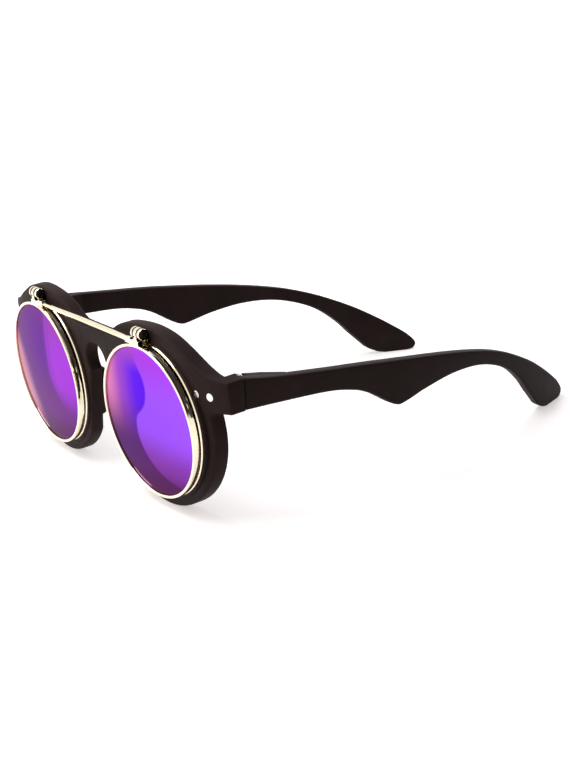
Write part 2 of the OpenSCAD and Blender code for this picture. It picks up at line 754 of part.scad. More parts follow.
module temple(side) {
    color(plastic) on_side(side) difference() {
        intersection() {
            translate([0, temple_y, 0]) rotate([90, 0, 90]) linear_extrude(far)
                polygon(concat(curve(upper_edge, 3), curve(lower_edge, 3)));
            translate([0, temple_y, 0]) linear_extrude(far) temple_plan();
        }
        box([leaf_in - seat_fit, block_y - 1, leaf_low - seat_fit],
            [inner_x + seat_fit, block_y + temple_leaf_l + seat_fit, leaf_high + seat_fit]);
        for (i = [0, 1]) at_leaf_screw(i) {
            translate([0, 0, -block_t - leaf_screw_reach])
                cylinder(r = leaf_screw_r + seat_fit, h = far / 10, $fn = fn_small);
            translate([0, 0, -leaf_head_h]) cylinder(r = leaf_head_r + seat_fit, h = 3, $fn = fn_small);
        }
    }
}

module temple_leaf(side) {
    color(silver) on_side(side) difference() {
        union() {
            box([leaf_in, block_y, leaf_low], [inner_x, block_y + temple_leaf_l, leaf_high]);
            at_pivot() translate([0, 0, -pivot_h / 2]) {
                cylinder(r = pivot_r, h = pivot_h, $fn = fn_small);
                box([leaf_in - pivot_x, 0, 0], [pivot_r, block_y - pivot_y, pivot_h]);
            }
        }
        at_pivot() translate([0, 0, -pivot_h]) cylinder(r = pivot_screw_r + run_fit, h = 2 * pivot_h, $fn = fn_small);
        for (i = [0, 1]) at_leaf_screw(i) translate([0, 0, -block_t - 1])
            cylinder(r = leaf_screw_r + seat_fit, h = far / 10, $fn = fn_small);
    }
}

module leaf_screws(side) {
    color(silver) on_side(side) for (i = [0, 1]) at_leaf_screw(i) {
        slotted_head(leaf_head_r, leaf_head_h, 0.25);
        translate([0, 0, -block_t - leaf_screw_reach])
            cylinder(r = leaf_screw_r, h = block_t + leaf_screw_reach - leaf_head_h, $fn = fn_small);
    }
}

front_frame();
rear_lens(1);  // rear_lens_right
rear_lens(-1);  // rear_lens_left
trim_ring(1);  // trim_ring_right
trim_ring(-1);  // trim_ring_left
hinge_base(1);  // hinge_base_right
hinge_base(-1);  // hinge_base_left
base_screw(1);  // base_screw_right
base_screw(-1);  // base_screw_left
flip_screw(1);  // flip_screw_right
flip_screw(-1);  // flip_screw_left
flip_arm(1);  // flip_arm_right
flip_arm(-1);  // flip_arm_left
flip_rim(1);  // flip_rim_right
flip_rim(-1);  // flip_rim_left
flip_lens(1);  // flip_lens_right
flip_lens(-1);  // flip_lens_left
brow_bar();
front_leaf(1);  // front_leaf_right
front_leaf(-1);  // front_leaf_left
front_rivets(1);  // front_rivets_right
front_rivets(-1);  // front_rivets_left
pivot_screw(1);  // pivot_screw_right
pivot_screw(-1);  // pivot_screw_left
temple(1);  // temple_right
temple(-1);  // temple_left
temple_leaf(1);  // temple_leaf_right
temple_leaf(-1);  // temple_leaf_left
leaf_screws(1);  // leaf_screws_right
leaf_screws(-1);  // leaf_screws_left
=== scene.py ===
"""Round flip-up sunglasses: a moulded front, a hinged metal pair of mirrored lenses and two temples."""
from math import acos, asin, atan2, ceil, cos, degrees, hypot, pi, radians, sin, sqrt, tan

import bmesh
import bpy
from mathutils import Matrix, Vector


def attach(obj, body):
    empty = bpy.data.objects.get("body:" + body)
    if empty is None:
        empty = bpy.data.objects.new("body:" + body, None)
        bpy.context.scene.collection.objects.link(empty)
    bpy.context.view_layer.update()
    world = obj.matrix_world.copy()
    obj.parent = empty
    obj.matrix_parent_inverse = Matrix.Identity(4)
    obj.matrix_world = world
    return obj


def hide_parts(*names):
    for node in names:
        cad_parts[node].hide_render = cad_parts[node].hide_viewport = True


bl_info = {
    "name": "Round flip-up sunglasses",
    "version": (1, 0, 0),
    "blender": (4, 5, 0),
    "location": "3D View > Sidebar > Sunglasses",
    "description": "Builds a pair of round sunglasses with a hinged pair of mirrored lenses",
    "category": "Mesh",
}

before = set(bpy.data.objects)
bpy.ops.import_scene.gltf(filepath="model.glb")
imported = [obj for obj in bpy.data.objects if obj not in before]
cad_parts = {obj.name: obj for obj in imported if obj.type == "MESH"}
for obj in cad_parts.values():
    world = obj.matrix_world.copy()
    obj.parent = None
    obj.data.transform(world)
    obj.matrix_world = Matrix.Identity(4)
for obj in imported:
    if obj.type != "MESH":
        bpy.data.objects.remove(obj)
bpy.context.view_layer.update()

# Pieces are modelled in millimetres and brought to metres when they are finished
MM = 0.001

# The front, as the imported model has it
LENS_X = 34.5
RIM_R = 28.6
BROW_R = 29.7
END_X = 69.5
ENDPIECE_TOP = 18.0
ENDPIECE_LOW = 8.1
ENDPIECE_WALL = 4.5
FRONT_T = 4.6
FRONT_TILT = 3.4
FACE_R = 700.0
BACK_R = 480.0
SWEEP_R = 43.0
SWEEP_W = 15.5
SWEEP_KINK = 1.0
ENDPIECE_D = 5.7
LENS_WRAP = 2.5
SEAT_RISE = 0.12
CORNER_R = 1.6
BRIDGE_TOP = 23.0
KEYHOLE_R = 6.4
KEYHOLE_V = 10.8
NOSE_GAP = 13.5
NOSE_FLARE = 15.0
PAD_R = 2.6
PAD_L = 13.0
PAD_PROUD = 2.8
PAD_TOP = 3.5

# The room between a piece and the seat or bore that it sits in
PLAY = 0.02

# The rings and lenses
OPENING_R = 23.6
TRIM_R = 25.0
TRIM_IN = 23.9
TRIM_PROUD = 0.65
TRIM_SEAT = 1.25
RAISED_R = 26.0
EYEWIRE_R = 24.9
LENS_R = 24.0
EYEWIRE_FRONT = 1.95
EYEWIRE_BACK = 0.1
LENS_RECESS = 0.6
LENS_BASE_R = 300
FLIP_LENS_R = 24.35
FLIP_LENS_T = 1.2
REAR_LENS_R = 24.4
REAR_LENS_T = 1.6
REAR_LENS_W = TRIM_SEAT + 1.0
SAW_CUT = 0.25
SAW_CUT_TURN = 9.5

# The flip-up's hinges
HINGE_RISE = 3.3
KNUCKLE_R = 1.75
KNUCKLE_BACK = 0.15
FLIP_DROOP = 0.8
ARM_W = 2.2
KNUCKLE_GAP = 0.12
EAR_W = 1.4
FOOT_T = 0.85
BAR_D = 1.6
BLOCK_L = 6.5
HINGE_BORE_R = 0.65

# The temples
TEMPLE_L = 154.5
TEMPLE_T = 4.5
TIP_T = 3.5
SLIM_H = 7.0
PADDLE_H = 14.7
NECK_H = 5.0
TIP_L = 31.0
BEND_H = 24.2
STRAIGHT_L = 31.5
CURL_R = 310.0
JOINT_GAP = 0.3
BLOCK_T = 2.7
PIVOT_R = 1.6
PIVOT_H = 2.6
PIVOT_GAP = 0.1
LEAF_T = 1.2
LEAF_L = 10.0
LEAF_BELOW = 3.2
LEAF_ABOVE = 1.6
LEAF_SCREWS = (2.8, 6.4)

# The rivets and the screws behind the brow
RIVET_PITCH = 5.5
RIVET_HEAD_R = 1.25
RIVET_SUNK = 0.8
RIVET_R = 0.8
BASE_HEAD_R = 1.1

# Height of the endpieces' walls before the front is bent
FLAT_WALL = 3.0

# The sides in the order that they are made, with the word for each in the names
SIDES = ((1, "right"), (-1, "left"))


def sag(radius, reach):
    """Depth of an arc of this radius between its middle and a point this far from it."""
    return radius - sqrt(radius * radius - reach * reach)


SWEEP_X = END_X - SWEEP_W
SWEEP_TURN = asin(SWEEP_X / FACE_R) + radians(SWEEP_KINK)
SWEEP_CX = SWEEP_X - SWEEP_R * sin(SWEEP_TURN)
SWEEP_CW = sag(FACE_R, SWEEP_X) + SWEEP_R * cos(SWEEP_TURN)
WALL_X = END_X - ENDPIECE_WALL


def face_w(x):
    """Depth of the front's face at a distance x from the mid-plane."""
    if x <= SWEEP_X:
        return sag(FACE_R, x)
    return SWEEP_CW - sqrt(SWEEP_R ** 2 - (x - SWEEP_CX) ** 2)


def face_turn(x):
    """Angle by which the face looks outwards at x."""
    if x <= SWEEP_X:
        return asin(x / FACE_R)
    return asin((x - SWEEP_CX) / SWEEP_R)


def back_w(x):
    """Depth of the front's back surface at x."""
    return FRONT_T + sag(BACK_R, x)


TILT = radians(FRONT_TILT)
SEAT_DEPTH = face_w(LENS_X)
LENS_Z = RIM_R * cos(TILT) - SEAT_DEPTH * sin(TILT)
HINGE_V = EYEWIRE_R + HINGE_RISE
HINGE_W = SEAT_DEPTH - KNUCKLE_R - KNUCKLE_BACK
JOINT_RAW = face_w(END_X) * cos(TILT) - ENDPIECE_TOP * sin(TILT) + ENDPIECE_D
HINGE_RAW = HINGE_W * cos(TILT) - HINGE_V * sin(TILT)
FLIP_TILT = radians(FRONT_TILT + FLIP_DROOP)
WRAP = radians(LENS_WRAP)
RIM_LEAN = hypot(sin(FLIP_TILT), sin(WRAP) * cos(FLIP_TILT))
NEAREST = (HINGE_RAW - EYEWIRE_FRONT * cos(WRAP) * cos(FLIP_TILT)
           + HINGE_V * sin(FLIP_TILT) - EYEWIRE_R * RIM_LEAN)
FRONT_Y = -(NEAREST + JOINT_RAW + JOINT_GAP + TEMPLE_L) / 2
JOINT_Y = FRONT_Y + JOINT_RAW
TEMPLE_Y = JOINT_Y + JOINT_GAP
JOINT_W = (JOINT_RAW + ENDPIECE_TOP * sin(TILT)) / cos(TILT)
TEMPLE_TOP = LENS_Z + ENDPIECE_TOP * cos(TILT) + JOINT_W * sin(TILT)
TEMPLE_H = (ENDPIECE_TOP - ENDPIECE_LOW) * cos(TILT)
PIVOT_X = WALL_X - PIVOT_GAP - PIVOT_R
PIVOT_Y = JOINT_Y + PIVOT_R
PIVOT_Z = TEMPLE_TOP - TEMPLE_H / 2
PIVOT_HALF = 1.5 * PIVOT_H + PIVOT_GAP
BLOCK_Y = PIVOT_Y + PIVOT_R + 0.4
INNER_X = END_X - TEMPLE_T
RIVET_V = (ENDPIECE_TOP + ENDPIECE_LOW) / 2
RIVET_X = (END_X - 6.5 - RIVET_PITCH, END_X - 6.5)
STACK = ARM_W / 2 + KNUCKLE_GAP + EAR_W


def move(x, y, z):
    return Matrix.Translation((x, y, z))


def turn(angle, axis):
    return Matrix.Rotation(angle, 4, axis)


IDENTITY = Matrix.Identity(4)
MIRROR = Matrix.Scale(-1, 4, (1, 0, 0))
HANDS = {1: IDENTITY, -1: MIRROR}
AT_FRONT = move(0, FRONT_Y, LENS_Z) @ turn(TILT, "X")
AT_FLIP = AT_FRONT @ move(0, HINGE_W, HINGE_V) @ turn(radians(FLIP_DROOP), "X")


def at_lens(side):
    """A fixed lens's frame: z runs backwards along the lens axis from the raised seat."""
    return (AT_FRONT @ move(side * LENS_X, SEAT_DEPTH - SEAT_RISE, 0)
            @ turn(side * WRAP, "Z") @ turn(-pi / 2, "X"))


def at_flip_lens(side):
    """A mirrored lens's frame, level with the hinge axis."""
    return AT_FLIP @ move(side * LENS_X, 0, -HINGE_V) @ turn(side * WRAP, "Z") @ turn(-pi / 2, "X")


def at_hinge(side):
    """A flip-up hinge's frame: x along the axis, y backwards, z up the face."""
    return AT_FRONT @ move(side * LENS_X, HINGE_W, HINGE_V)


def at_rivet(i):
    """A rivet's frame on the right endpiece: z points out of the face."""
    return (AT_FRONT @ move(RIVET_X[i], face_w(RIVET_X[i]), RIVET_V)
            @ turn(face_turn(RIVET_X[i]), "Z") @ turn(pi / 2, "X"))


BASE_SCREW_V = TRIM_R + PLAY + 0.9
AT_BASE_SCREW = AT_FRONT @ move(LENS_X, back_w(LENS_X), BASE_SCREW_V) @ turn(-pi / 2, "X")
LEAF_X = WALL_X - PIVOT_GAP - 5.0
AT_LAND = AT_FRONT @ move(LEAF_X, back_w(LEAF_X), RIVET_V) @ turn(asin(LEAF_X / BACK_R), "Z")


# Modelling steps


def clear_selection():
    if bpy.context.mode != "OBJECT":
        bpy.ops.object.mode_set(mode="OBJECT")
    for obj in list(bpy.context.selected_objects):
        obj.select_set(False)


def activate(obj):
    clear_selection()
    obj.select_set(True)
    bpy.context.view_layer.objects.active = obj


def edit(obj, kind="VERT"):
    activate(obj)
    bpy.ops.object.mode_set(mode="EDIT")
    bpy.ops.mesh.select_mode(type=kind)


def select_all():
    bpy.ops.mesh.select_all(action="SELECT")


def leave():
    bpy.ops.object.mode_set(mode="OBJECT")


def pick(obj, kind, test):
    """In edit mode, selects only the vertices, edges or faces that pass the test."""
    shape = bmesh.from_edit_mesh(obj.data)
    for group in (shape.verts, shape.edges, shape.faces):
        for item in group:
            item.select = False
    chosen = {"VERT": shape.verts, "EDGE": shape.edges, "FACE": shape.faces}[kind]
    for item in chosen:
        if test(item):
            item.select_set(True)
    bmesh.update_edit_mesh(obj.data)


def refine(obj, kind, **values):
    """Adds a modifier with these values and applies it."""
    activate(obj)
    step = obj.modifiers.new("step", kind)
    for name, value in values.items():
        setattr(step, name, value)
    bpy.ops.object.modifier_apply(modifier=step.name)


def bevel(obj, width):
    refine(obj, "BEVEL", width=width, segments=3, limit_method="ANGLE", angle_limit=radians(50))


def round_edges(obj, width, share):
    """Rounds every edge by its own share of the width. share takes the edge's two ends."""
    weights = obj.data.attributes.new("bevel_weight_edge", "FLOAT", "EDGE")
    for e in obj.data.edges:
        a, b = (obj.data.vertices[i].co for i in e.vertices)
        weights.data[e.index].value = share(a, b)
    refine(obj, "BEVEL", width=width, segments=4, limit_method="WEIGHT", use_clamp_overlap=False)


def slice_mesh(obj, axis, places):
    """Cuts the faces across at these places along an axis, so that the mesh can bend there."""
    edit(obj)
    for place in places:
        select_all()
        bpy.ops.mesh.bisect(plane_co=Vector(axis) * place, plane_no=axis)
    leave()


def placed(obj, matrix):
    obj.data.transform(matrix)
    if matrix.determinant() < 0:
        obj.data.flip_normals()
    return obj


def cut(obj, tool, at=IDENTITY, how="DIFFERENCE"):
    """Cuts, joins or intersects with a second shape, set at its place and then removed."""
    refine(obj, "BOOLEAN", operation=how, object=placed(tool, at), solver="EXACT")
    bpy.data.objects.remove(tool, do_unlink=True)


def join(obj, tool, at=IDENTITY):
    cut(obj, tool, at, "UNION")


def tidy(obj):
    """Merges doubled points and turns every face outwards."""
    edit(obj)
    select_all()
    bpy.ops.mesh.remove_doubles(threshold=0.0005)
    bpy.ops.mesh.dissolve_degenerate(threshold=0.0001)
    select_all()
    bpy.ops.mesh.normals_make_consistent(inside=False)
    leave()


def polygon(name, points, filled):
    """A circle primitive whose points are set along the given line."""
    clear_selection()
    bpy.ops.mesh.primitive_circle_add(
        vertices=len(points), radius=1, fill_type="NGON" if filled else "NOTHING")
    obj = bpy.context.active_object
    obj.name = name
    for vertex, point in zip(obj.data.vertices, points):
        vertex.co = point
    return obj


def prism(name, outline, along, depth):
    """A flat outline extruded by depth along x, y or z. along maps (a, b) to a point."""
    obj = polygon(name, [along(a, b) for a, b in outline], True)
    edit(obj, "FACE")
    select_all()
    bpy.ops.mesh.extrude_region_move(TRANSFORM_OT_translate={"value": depth})
    select_all()
    bpy.ops.mesh.normals_make_consistent(inside=False)
    leave()
    return obj


def lathe(name, profile, steps=128, solid=False):
    """A profile of (radius, height) points spun round z. A solid one starts and ends on the axis."""
    obj = polygon(name, [(r, 0, z) for r, z in profile], False)
    if solid:
        edit(obj, "EDGE")
        pick(obj, "EDGE", lambda e: all(v.co.x < 1e-6 for v in e.verts))
        bpy.ops.mesh.delete(type="EDGE")
        leave()
    edit(obj)
    select_all()
    bpy.ops.mesh.spin(steps=steps, angle=2 * pi, center=(0, 0, 0), axis=(0, 0, 1))
    leave()
    tidy(obj)
    return obj


def cylinder(name, radius, low, high, axis="Z", sides=48, edge=0.0):
    """A round bar along one axis whose rims are bevelled."""
    clear_selection()
    bpy.ops.mesh.primitive_cylinder_add(
        vertices=sides, radius=radius, depth=high - low, location=(0, 0, 0))
    obj = bpy.context.active_object
    obj.name = name
    obj.data.transform(move(0, 0, (low + high) / 2))
    if axis == "X":
        obj.data.transform(turn(pi / 2, "Y"))
    if edge:
        bevel(obj, edge)
    return obj


def block(name, a, b, edge=0.0):
    """A cube primitive between two corners, with rounded edges."""
    clear_selection()
    bpy.ops.mesh.primitive_cube_add(size=1, location=(0, 0, 0))
    obj = bpy.context.active_object
    obj.name = name
    low = Vector(min(p, q) for p, q in zip(a, b))
    high = Vector(max(p, q) for p, q in zip(a, b))
    for vertex in obj.data.vertices:
        vertex.co = [low[i] if vertex.co[i] < 0 else high[i] for i in range(3)]
    if edge:
        bevel(obj, edge)
    return obj


def twin(obj, name, matrix):
    """A second piece with a mesh of its own, moved or mirrored."""
    other = obj.copy()
    other.data = obj.data.copy()
    other.name = name
    bpy.context.scene.collection.objects.link(other)
    return placed(other, matrix)


def settle(obj, body, material, nodes, angle=35):
    """Shades a finished piece, brings it to metres and puts it on its body."""
    tidy(obj)
    obj.data.transform(Matrix.Scale(MM, 4))
    activate(obj)
    bpy.ops.object.shade_smooth_by_angle(angle=radians(angle))
    obj.data.materials.clear()
    obj.data.materials.append(material)
    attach(obj, body)
    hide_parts(*nodes)
    return obj


def spline(points, steps):
    """A smooth curve through given points."""
    out = []
    for i in range(len(points) - 1):
        a, b = points[max(i - 1, 0)], points[i]
        c, d = points[i + 1], points[min(i + 2, len(points) - 1)]
        for k in range(steps):
            t = k / steps
            out.append(tuple(0.5 * (2 * q + (r - p) * t + (2 * p - 5 * q + 4 * r - s) * t * t
                                    + (3 * q - p - 3 * r + s) * t ** 3)
                             for p, q, r, s in zip(a, b, c, d)))
    out.append(tuple(points[-1]))
    return out


def arc(cx, cy, r, a0, a1, steps):
    """Points of an arc, with its angles in degrees."""
    return [(cx + r * cos(radians(a0 + (a1 - a0) * i / steps)),
             cy + r * sin(radians(a0 + (a1 - a0) * i / steps))) for i in range(steps + 1)]


# Materials


def nodes_of(owner):
    """The empty node tree of a material or a world."""
    owner.use_nodes = True
    owner.node_tree.nodes.clear()
    return owner.node_tree


def add(tree, kind, values=None, **settings):
    """A node with these settings. Each of its values is a number, a colour or the output to link."""
    node = tree.nodes.new(kind)
    for name, value in settings.items():
        setattr(node, name, value)
    for name, value in (values or {}).items():
        if isinstance(value, bpy.types.NodeSocket):
            tree.links.new(value, node.inputs[name])
        else:
            node.inputs[name].default_value = value
    return node


def split(tree, vector):
    return add(tree, "ShaderNodeSeparateXYZ", {0: vector}).outputs


def new_group(name, inputs, outputs):
    """A shader node group. An input's kind follows from its default, and outputs are (name, kind)."""
    group = bpy.data.node_groups.new(name, "ShaderNodeTree")
    for title, value in inputs.items():
        kind = {3: "Vector", 4: "Color"}[len(value)] if isinstance(value, tuple) else "Float"
        socket = group.interface.new_socket(title, in_out="INPUT", socket_type="NodeSocket" + kind)
        socket.default_value = value
    for title, kind in outputs:
        group.interface.new_socket(title, in_out="OUTPUT", socket_type="NodeSocket" + kind)
    return group, group.nodes.new("NodeGroupInput").outputs, group.nodes.new("NodeGroupOutput").inputs


def math_node(tree, operation, a, b=0.5, clamp=False):
    node = add(tree, "ShaderNodeMath", {0: a, 1: b}, operation=operation, use_clamp=clamp)
    return node.outputs[0]


def times(tree, a, b):
    return math_node(tree, "MULTIPLY", a, b)


def plus(tree, a, b, clamp=False):
    return math_node(tree, "ADD", a, b, clamp)


def minus(tree, a, b):
    return math_node(tree, "SUBTRACT", a, b)


def distance(tree, a):
    return math_node(tree, "ABSOLUTE", a)


def ramp(tree, factor, shade, colour):
    """From the darker tone to the lighter one in slow patches."""
    node = add(tree, "ShaderNodeValToRGB", {0: factor})
    for point, place, tone in zip(node.color_ramp.elements, (0.3, 0.7), (shade, colour)):
        point.position = place
        point.color = (*tone, 1)
    return node.outputs["Color"]


def mix(tree, factor, a, b):
    tones = [(*tone, 1) if isinstance(tone, tuple) else tone for tone in (a, b)]
    node = add(tree, "ShaderNodeMix", data_type="RGBA", values={0: factor, 6: tones[0], 7: tones[1]})
    return node.outputs[2]


def plain(srgb):
    """A colour picked on the screen, as the linear numbers that a shader takes."""
    return tuple(c / 12.92 if c <= 0.04045 else ((c + 0.055) / 1.055) ** 2.4 for c in srgb)


def screen(r, g, b):
    return plain((r / 255, g / 255, b / 255))


def grain_group():
    """Fine moulded or brushed grain: a height, and a slow mask for variation of tone."""
    group, source, end = new_group(
        "surface_grain", {"Vector": (0, 0, 0), "Grain Scale": 3000.0, "Patch Scale": 60.0},
        [("Height", "Float"), ("Patches", "Float")])
    for scale, detail, roughness, title in (
            ("Grain Scale", 3.0, 0.6, "Height"), ("Patch Scale", 4.0, 0.55, "Patches")):
        noise = add(group, "ShaderNodeTexNoise", {
            "Vector": source["Vector"], "Scale": source[scale], "Detail": detail, "Roughness": roughness})
        group.links.new(noise.outputs[0], end[title])
    return group


def surface(name, scales, roughness, values, bump=None):
    """A shader with slow changes of roughness and a fine bump. Returns what its colour needs."""
    material = bpy.data.materials.new(name)
    tree = nodes_of(material)
    group = bpy.data.node_groups.get("surface_grain") or grain_group()
    place = add(tree, "ShaderNodeTexCoord").outputs
    grain = add(tree, "ShaderNodeGroup", node_tree=group, values={
        "Vector": place["Object"], "Grain Scale": scales[0], "Patch Scale": scales[1]}).outputs
    rough = add(tree, "ShaderNodeMapRange", {
        "Value": grain["Patches"], "To Min": roughness[0], "To Max": roughness[1]})
    shader = add(tree, "ShaderNodeBsdfPrincipled", {**values, "Roughness": rough.outputs[0]})
    if bump:
        height = add(tree, "ShaderNodeBump", {
            "Height": grain["Height"], "Strength": bump[0], "Distance": bump[1]})
        tree.links.new(height.outputs[0], shader.inputs["Normal"])
    add(tree, "ShaderNodeOutputMaterial", {"Surface": shader.outputs[0]})
    return material, place, grain["Patches"], shader.inputs["Base Color"]


def two_tone(name, shade, colour, scales, roughness, values, bump=None, painted_shade_group=None):
    """A finish of two close tones. The optional shade group says where painted shade makes it nearly black.
    """
    material, place, patches, base = surface(name, scales, roughness, values, bump)
    tree = material.node_tree
    tone = ramp(tree, patches, shade, colour)
    if painted_shade_group:
        dark = add(tree, "ShaderNodeGroup", node_tree=painted_shade_group, values={
            "Vector": place["Object"], "Normal": place["Normal"]}).outputs["Dark"]
        # The near-black colour of the painted shade
        tone = mix(tree, dark, tone, screen(24, 21, 19))
    tree.links.new(tone, base)
    return material


def hinge_shade_group():
    """Painted shade on a flip-up hinge: in the seams beside its middle knuckle; painted dark reflection on
    its +x end faces.
    """
    group, source, end = new_group(
        "hinge_shade", {"Vector": (0, 0, 0), "Normal": (0, 0, 0)}, [("Dark", "Float")])
    place = split(group, source["Vector"])
    facing = split(group, source["Normal"])
    across = distance(group, place["X"])
    from_middle = distance(group, minus(group, across, LENS_X * MM))
    from_seam = distance(group, minus(group, from_middle, (ARM_W + KNUCKLE_GAP) / 2 * MM))
    # Painted shade in the seams beside the middle knuckle
    seam = fade(group, from_seam, 0.44 * MM, 0.32 * MM)
    knuckle_foot = at_hinge(1).translation.z - KNUCKLE_R
    on_knuckle = fade(group, place["Z"], (knuckle_foot - 0.1) * MM, knuckle_foot * MM)
    # Faces turned to +x get a painted dark reflection
    ends = fade(group, facing["X"], 0.6, 0.85)
    dark = math_node(group, "MAXIMUM", times(group, seam, on_knuckle), ends)
    group.links.new(dark, end["Dark"])
    return group


def fade(tree, value, low, high):
    """A soft step from 0 at low to 1 at high."""
    node = add(tree, "ShaderNodeMapRange", {"Value": value, "From Min": low, "From Max": high},
               interpolation_type="SMOOTHSTEP")
    return node.outputs[0]


# The near lens's coating and painted reflections on the screen, by the name of each region
COATING_AND_REFLECTION_COLOURS = {
    "Edge": (228, 132, 190), "Left": (165, 75, 200), "Left Low": (90, 36, 114), "Deep": (96, 20, 240),
    "Field Top": (168, 64, 228), "Field": (160, 84, 254), "Field Low": (135, 58, 168), "Foot": (88, 32, 85)}


def mirror_group():
    """The violet coating with painted reflections: a pink edge, a deep patch, a bright field with a curved
    border, a dark foot.
    """
    tones = {title: (*screen(*tone), 1) for title, tone in COATING_AND_REFLECTION_COLOURS.items()}
    group, source, end = new_group("violet_coating_painted_reflections", {
        "Vector": (0, 0, 0), "Field Centre": (0.65, -0.15, 0), "Field Radius": 0.9,
        "Patch Centre": (-0.25, 0.43, 0), "Patch Radius": 0.33, "Softness": 0.02,
        "Painted Streak": 0.0, "Low Edge": 0.0, **tones}, [("Color", "Color")])
    parts = split(group, source["Vector"])
    x, y = parts["X"], parts["Y"]
    # The field is a circle below its centre and stretched above it
    away = add(group, "ShaderNodeVectorMath", {0: source["Vector"], 1: source["Field Centre"]},
               operation="SUBTRACT")
    step = split(group, away.outputs[0])
    above = times(group, math_node(group, "MAXIMUM", step["Y"], 0.0), 0.42)
    below = times(group, math_node(group, "MINIMUM", step["Y"], 0.0), 1.4)
    rise = plus(group, above, below)
    squares = plus(group, times(group, step["X"], step["X"]), times(group, rise, rise))
    border = minus(group, math_node(group, "SQRT", squares), source["Field Radius"])
    patch = add(group, "ShaderNodeVectorMath", {0: source["Vector"], 1: source["Patch Centre"]},
                operation="DISTANCE")
    in_patch = minus(group, source["Patch Radius"], patch.outputs["Value"])
    # The patch and the border run into each other in a smooth curve
    outside = math_node(group, "SMOOTH_MAX", border, in_patch)
    outside.node.inputs[2].default_value = 0.36
    inside = fade(group, math_node(group, "DIVIDE", outside, source["Softness"]), 1.0, -1.0)
    # The pink edge leans towards the foot by the amount of Low Edge
    lean = plus(group, x, times(group, y, times(group, source["Low Edge"], 0.5)))
    left = mix(group, fade(group, lean, -0.88, -0.5), source["Edge"], source["Left"])
    deep = times(group, fade(group, x, -0.65, -0.1), fade(group, y, 0.95, 0.6))
    left = mix(group, deep, left, source["Deep"])
    left = mix(group, fade(group, y, 0.35, -0.45), left, source["Left Low"])
    low_edge = times(group, fade(group, lean, -0.6, -0.95), source["Low Edge"])
    left = mix(group, low_edge, left, source["Edge"])
    left = mix(group, fade(group, y, -0.5, -0.95), left, source["Foot"])
    field = mix(group, fade(group, y, 0.9, 0.3), source["Field Top"], source["Field"])
    field = mix(group, fade(group, y, -0.05, -0.62), field, source["Field Low"])
    field = mix(group, fade(group, y, -0.55, -0.95), field, source["Foot"])
    both = mix(group, inside, left, field)
    # A painted highlight streak along the field's border
    line = fade(group, distance(group, border), 0.05, 0.0)
    line = times(group, line, times(group, fade(group, y, -0.6, 0.1), source["Painted Streak"]))
    both = mix(group, line, both, source["Field"])
    group.links.new(both, end["Color"])
    return group


def make_mirror(name, side, values):
    material, place, _, base = surface(name, (500.0, 40.0), (0.16, 0.2), {
        "Metallic": 1.0, "Coat Weight": 0.0, "Specular Tint": (0.64, 0.6, 0.66, 1)})
    tree = material.node_tree
    # Object x and z become the coating's x and y, from -1 to 1 across the lens
    centre = at_flip_lens(side).translation * MM
    scale = 1 / (LENS_R * MM)
    swap = split(tree, place["Object"])
    flat = add(tree, "ShaderNodeCombineXYZ", {"X": swap["X"], "Y": swap["Z"]})
    mapping = add(tree, "ShaderNodeMapping", vector_type="POINT", values={
        "Vector": flat.outputs[0], "Location": (-centre.x * scale, centre.z * -scale, 0),
        "Scale": (scale, scale, scale)})
    tones = {title: (*screen(*value), 1) for title, value in values.items() if title in COATING_AND_REFLECTION_COLOURS}
    coating_and_reflections = add(tree, "ShaderNodeGroup", {"Vector": mapping.outputs[0], **values, **tones},
                  node_tree=bpy.data.node_groups.get("violet_coating_painted_reflections") or mirror_group())
    # The coating and its painted reflections give back four fifths of the light, and keep most of their
    # colour at low angles
    tree.links.new(mix(tree, 0.2, coating_and_reflections.outputs["Color"], (0.0, 0.0, 0.0)), base)
    return material


def colours():
    return bpy.context.scene.glasses_colours


def scaled(colour, share):
    return tuple(c * share for c in colour)


def made_once(name, make, *values):
    """The finish of this name, made if it isn't there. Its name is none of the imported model's."""
    return bpy.data.materials.get(name) or make(name, *values)


def plastic():
    tones = colours()
    return made_once(
        "moulded_soft_touch", two_tone, scaled(tones.plastic, 0.85), tuple(tones.plastic_light),
        (2600.0, 55.0), (0.48, 0.58), {"Specular IOR Level": 0.07, "IOR": 1.45, "Coat Weight": 0.0},
        (0.25, 0.00004))


def metal(name, colour, shade, roughness, painted_shade_group=None):
    return made_once(name, two_tone, shade, colour, (1400.0, 120.0), (roughness * 0.8, roughness * 1.25),
                     {"Metallic": 1.0}, (0.08, 0.00002), painted_shade_group)


def gold(name="pale_gold_polish", painted_shade_group=None):
    tone = colours().gold
    return metal(name, tuple(tone), scaled(tone, 0.95), 0.075, painted_shade_group)


def hinge_gold():
    return gold("pale_gold_hinge_painted_shade", bpy.data.node_groups.get("hinge_shade") or hinge_shade_group())


# Dark steel for the flip screws: painted shade and painted dark reflection from the hinge's recess
def painted_shade_steel():
    return metal("steel_painted_shade", screen(58, 54, 54), screen(44, 41, 41), 0.3)


def silver():
    tone = colours().silver
    return metal("bright_steel", tuple(tone), scaled(tone, 0.9), 0.22)


def tint():
    tone = colours().tint
    return made_once("dark_tint", two_tone, scaled(tone, 0.8), tuple(tone), (900.0, 60.0), (0.05, 0.09),
                     {"IOR": 1.5, "Coat Weight": 0.3, "Coat Roughness": 0.03})


def mirror(side):
    if side > 0:
        return made_once("violet_mirror_right", make_mirror, 1, {})
    # The left lens has painted reflections of its own and a painted highlight streak
    return made_once("violet_mirror_left", make_mirror, -1, {
        "Field Centre": (1.32, 0.15, 0), "Field Radius": 1.1,
        "Patch Centre": (-4.0, 0.0, 0), "Patch Radius": 0.1,
        "Painted Streak": 0.6, "Low Edge": 1.0, "Softness": 0.16,
        "Edge": (238, 165, 188), "Left": (118, 50, 146), "Left Low": (122, 56, 144),
        "Deep": (112, 40, 160), "Field Top": (160, 68, 185), "Field": (174, 63, 229),
        "Field Low": (116, 52, 140), "Foot": (95, 42, 96)})


# Sizes and colours that can be changed


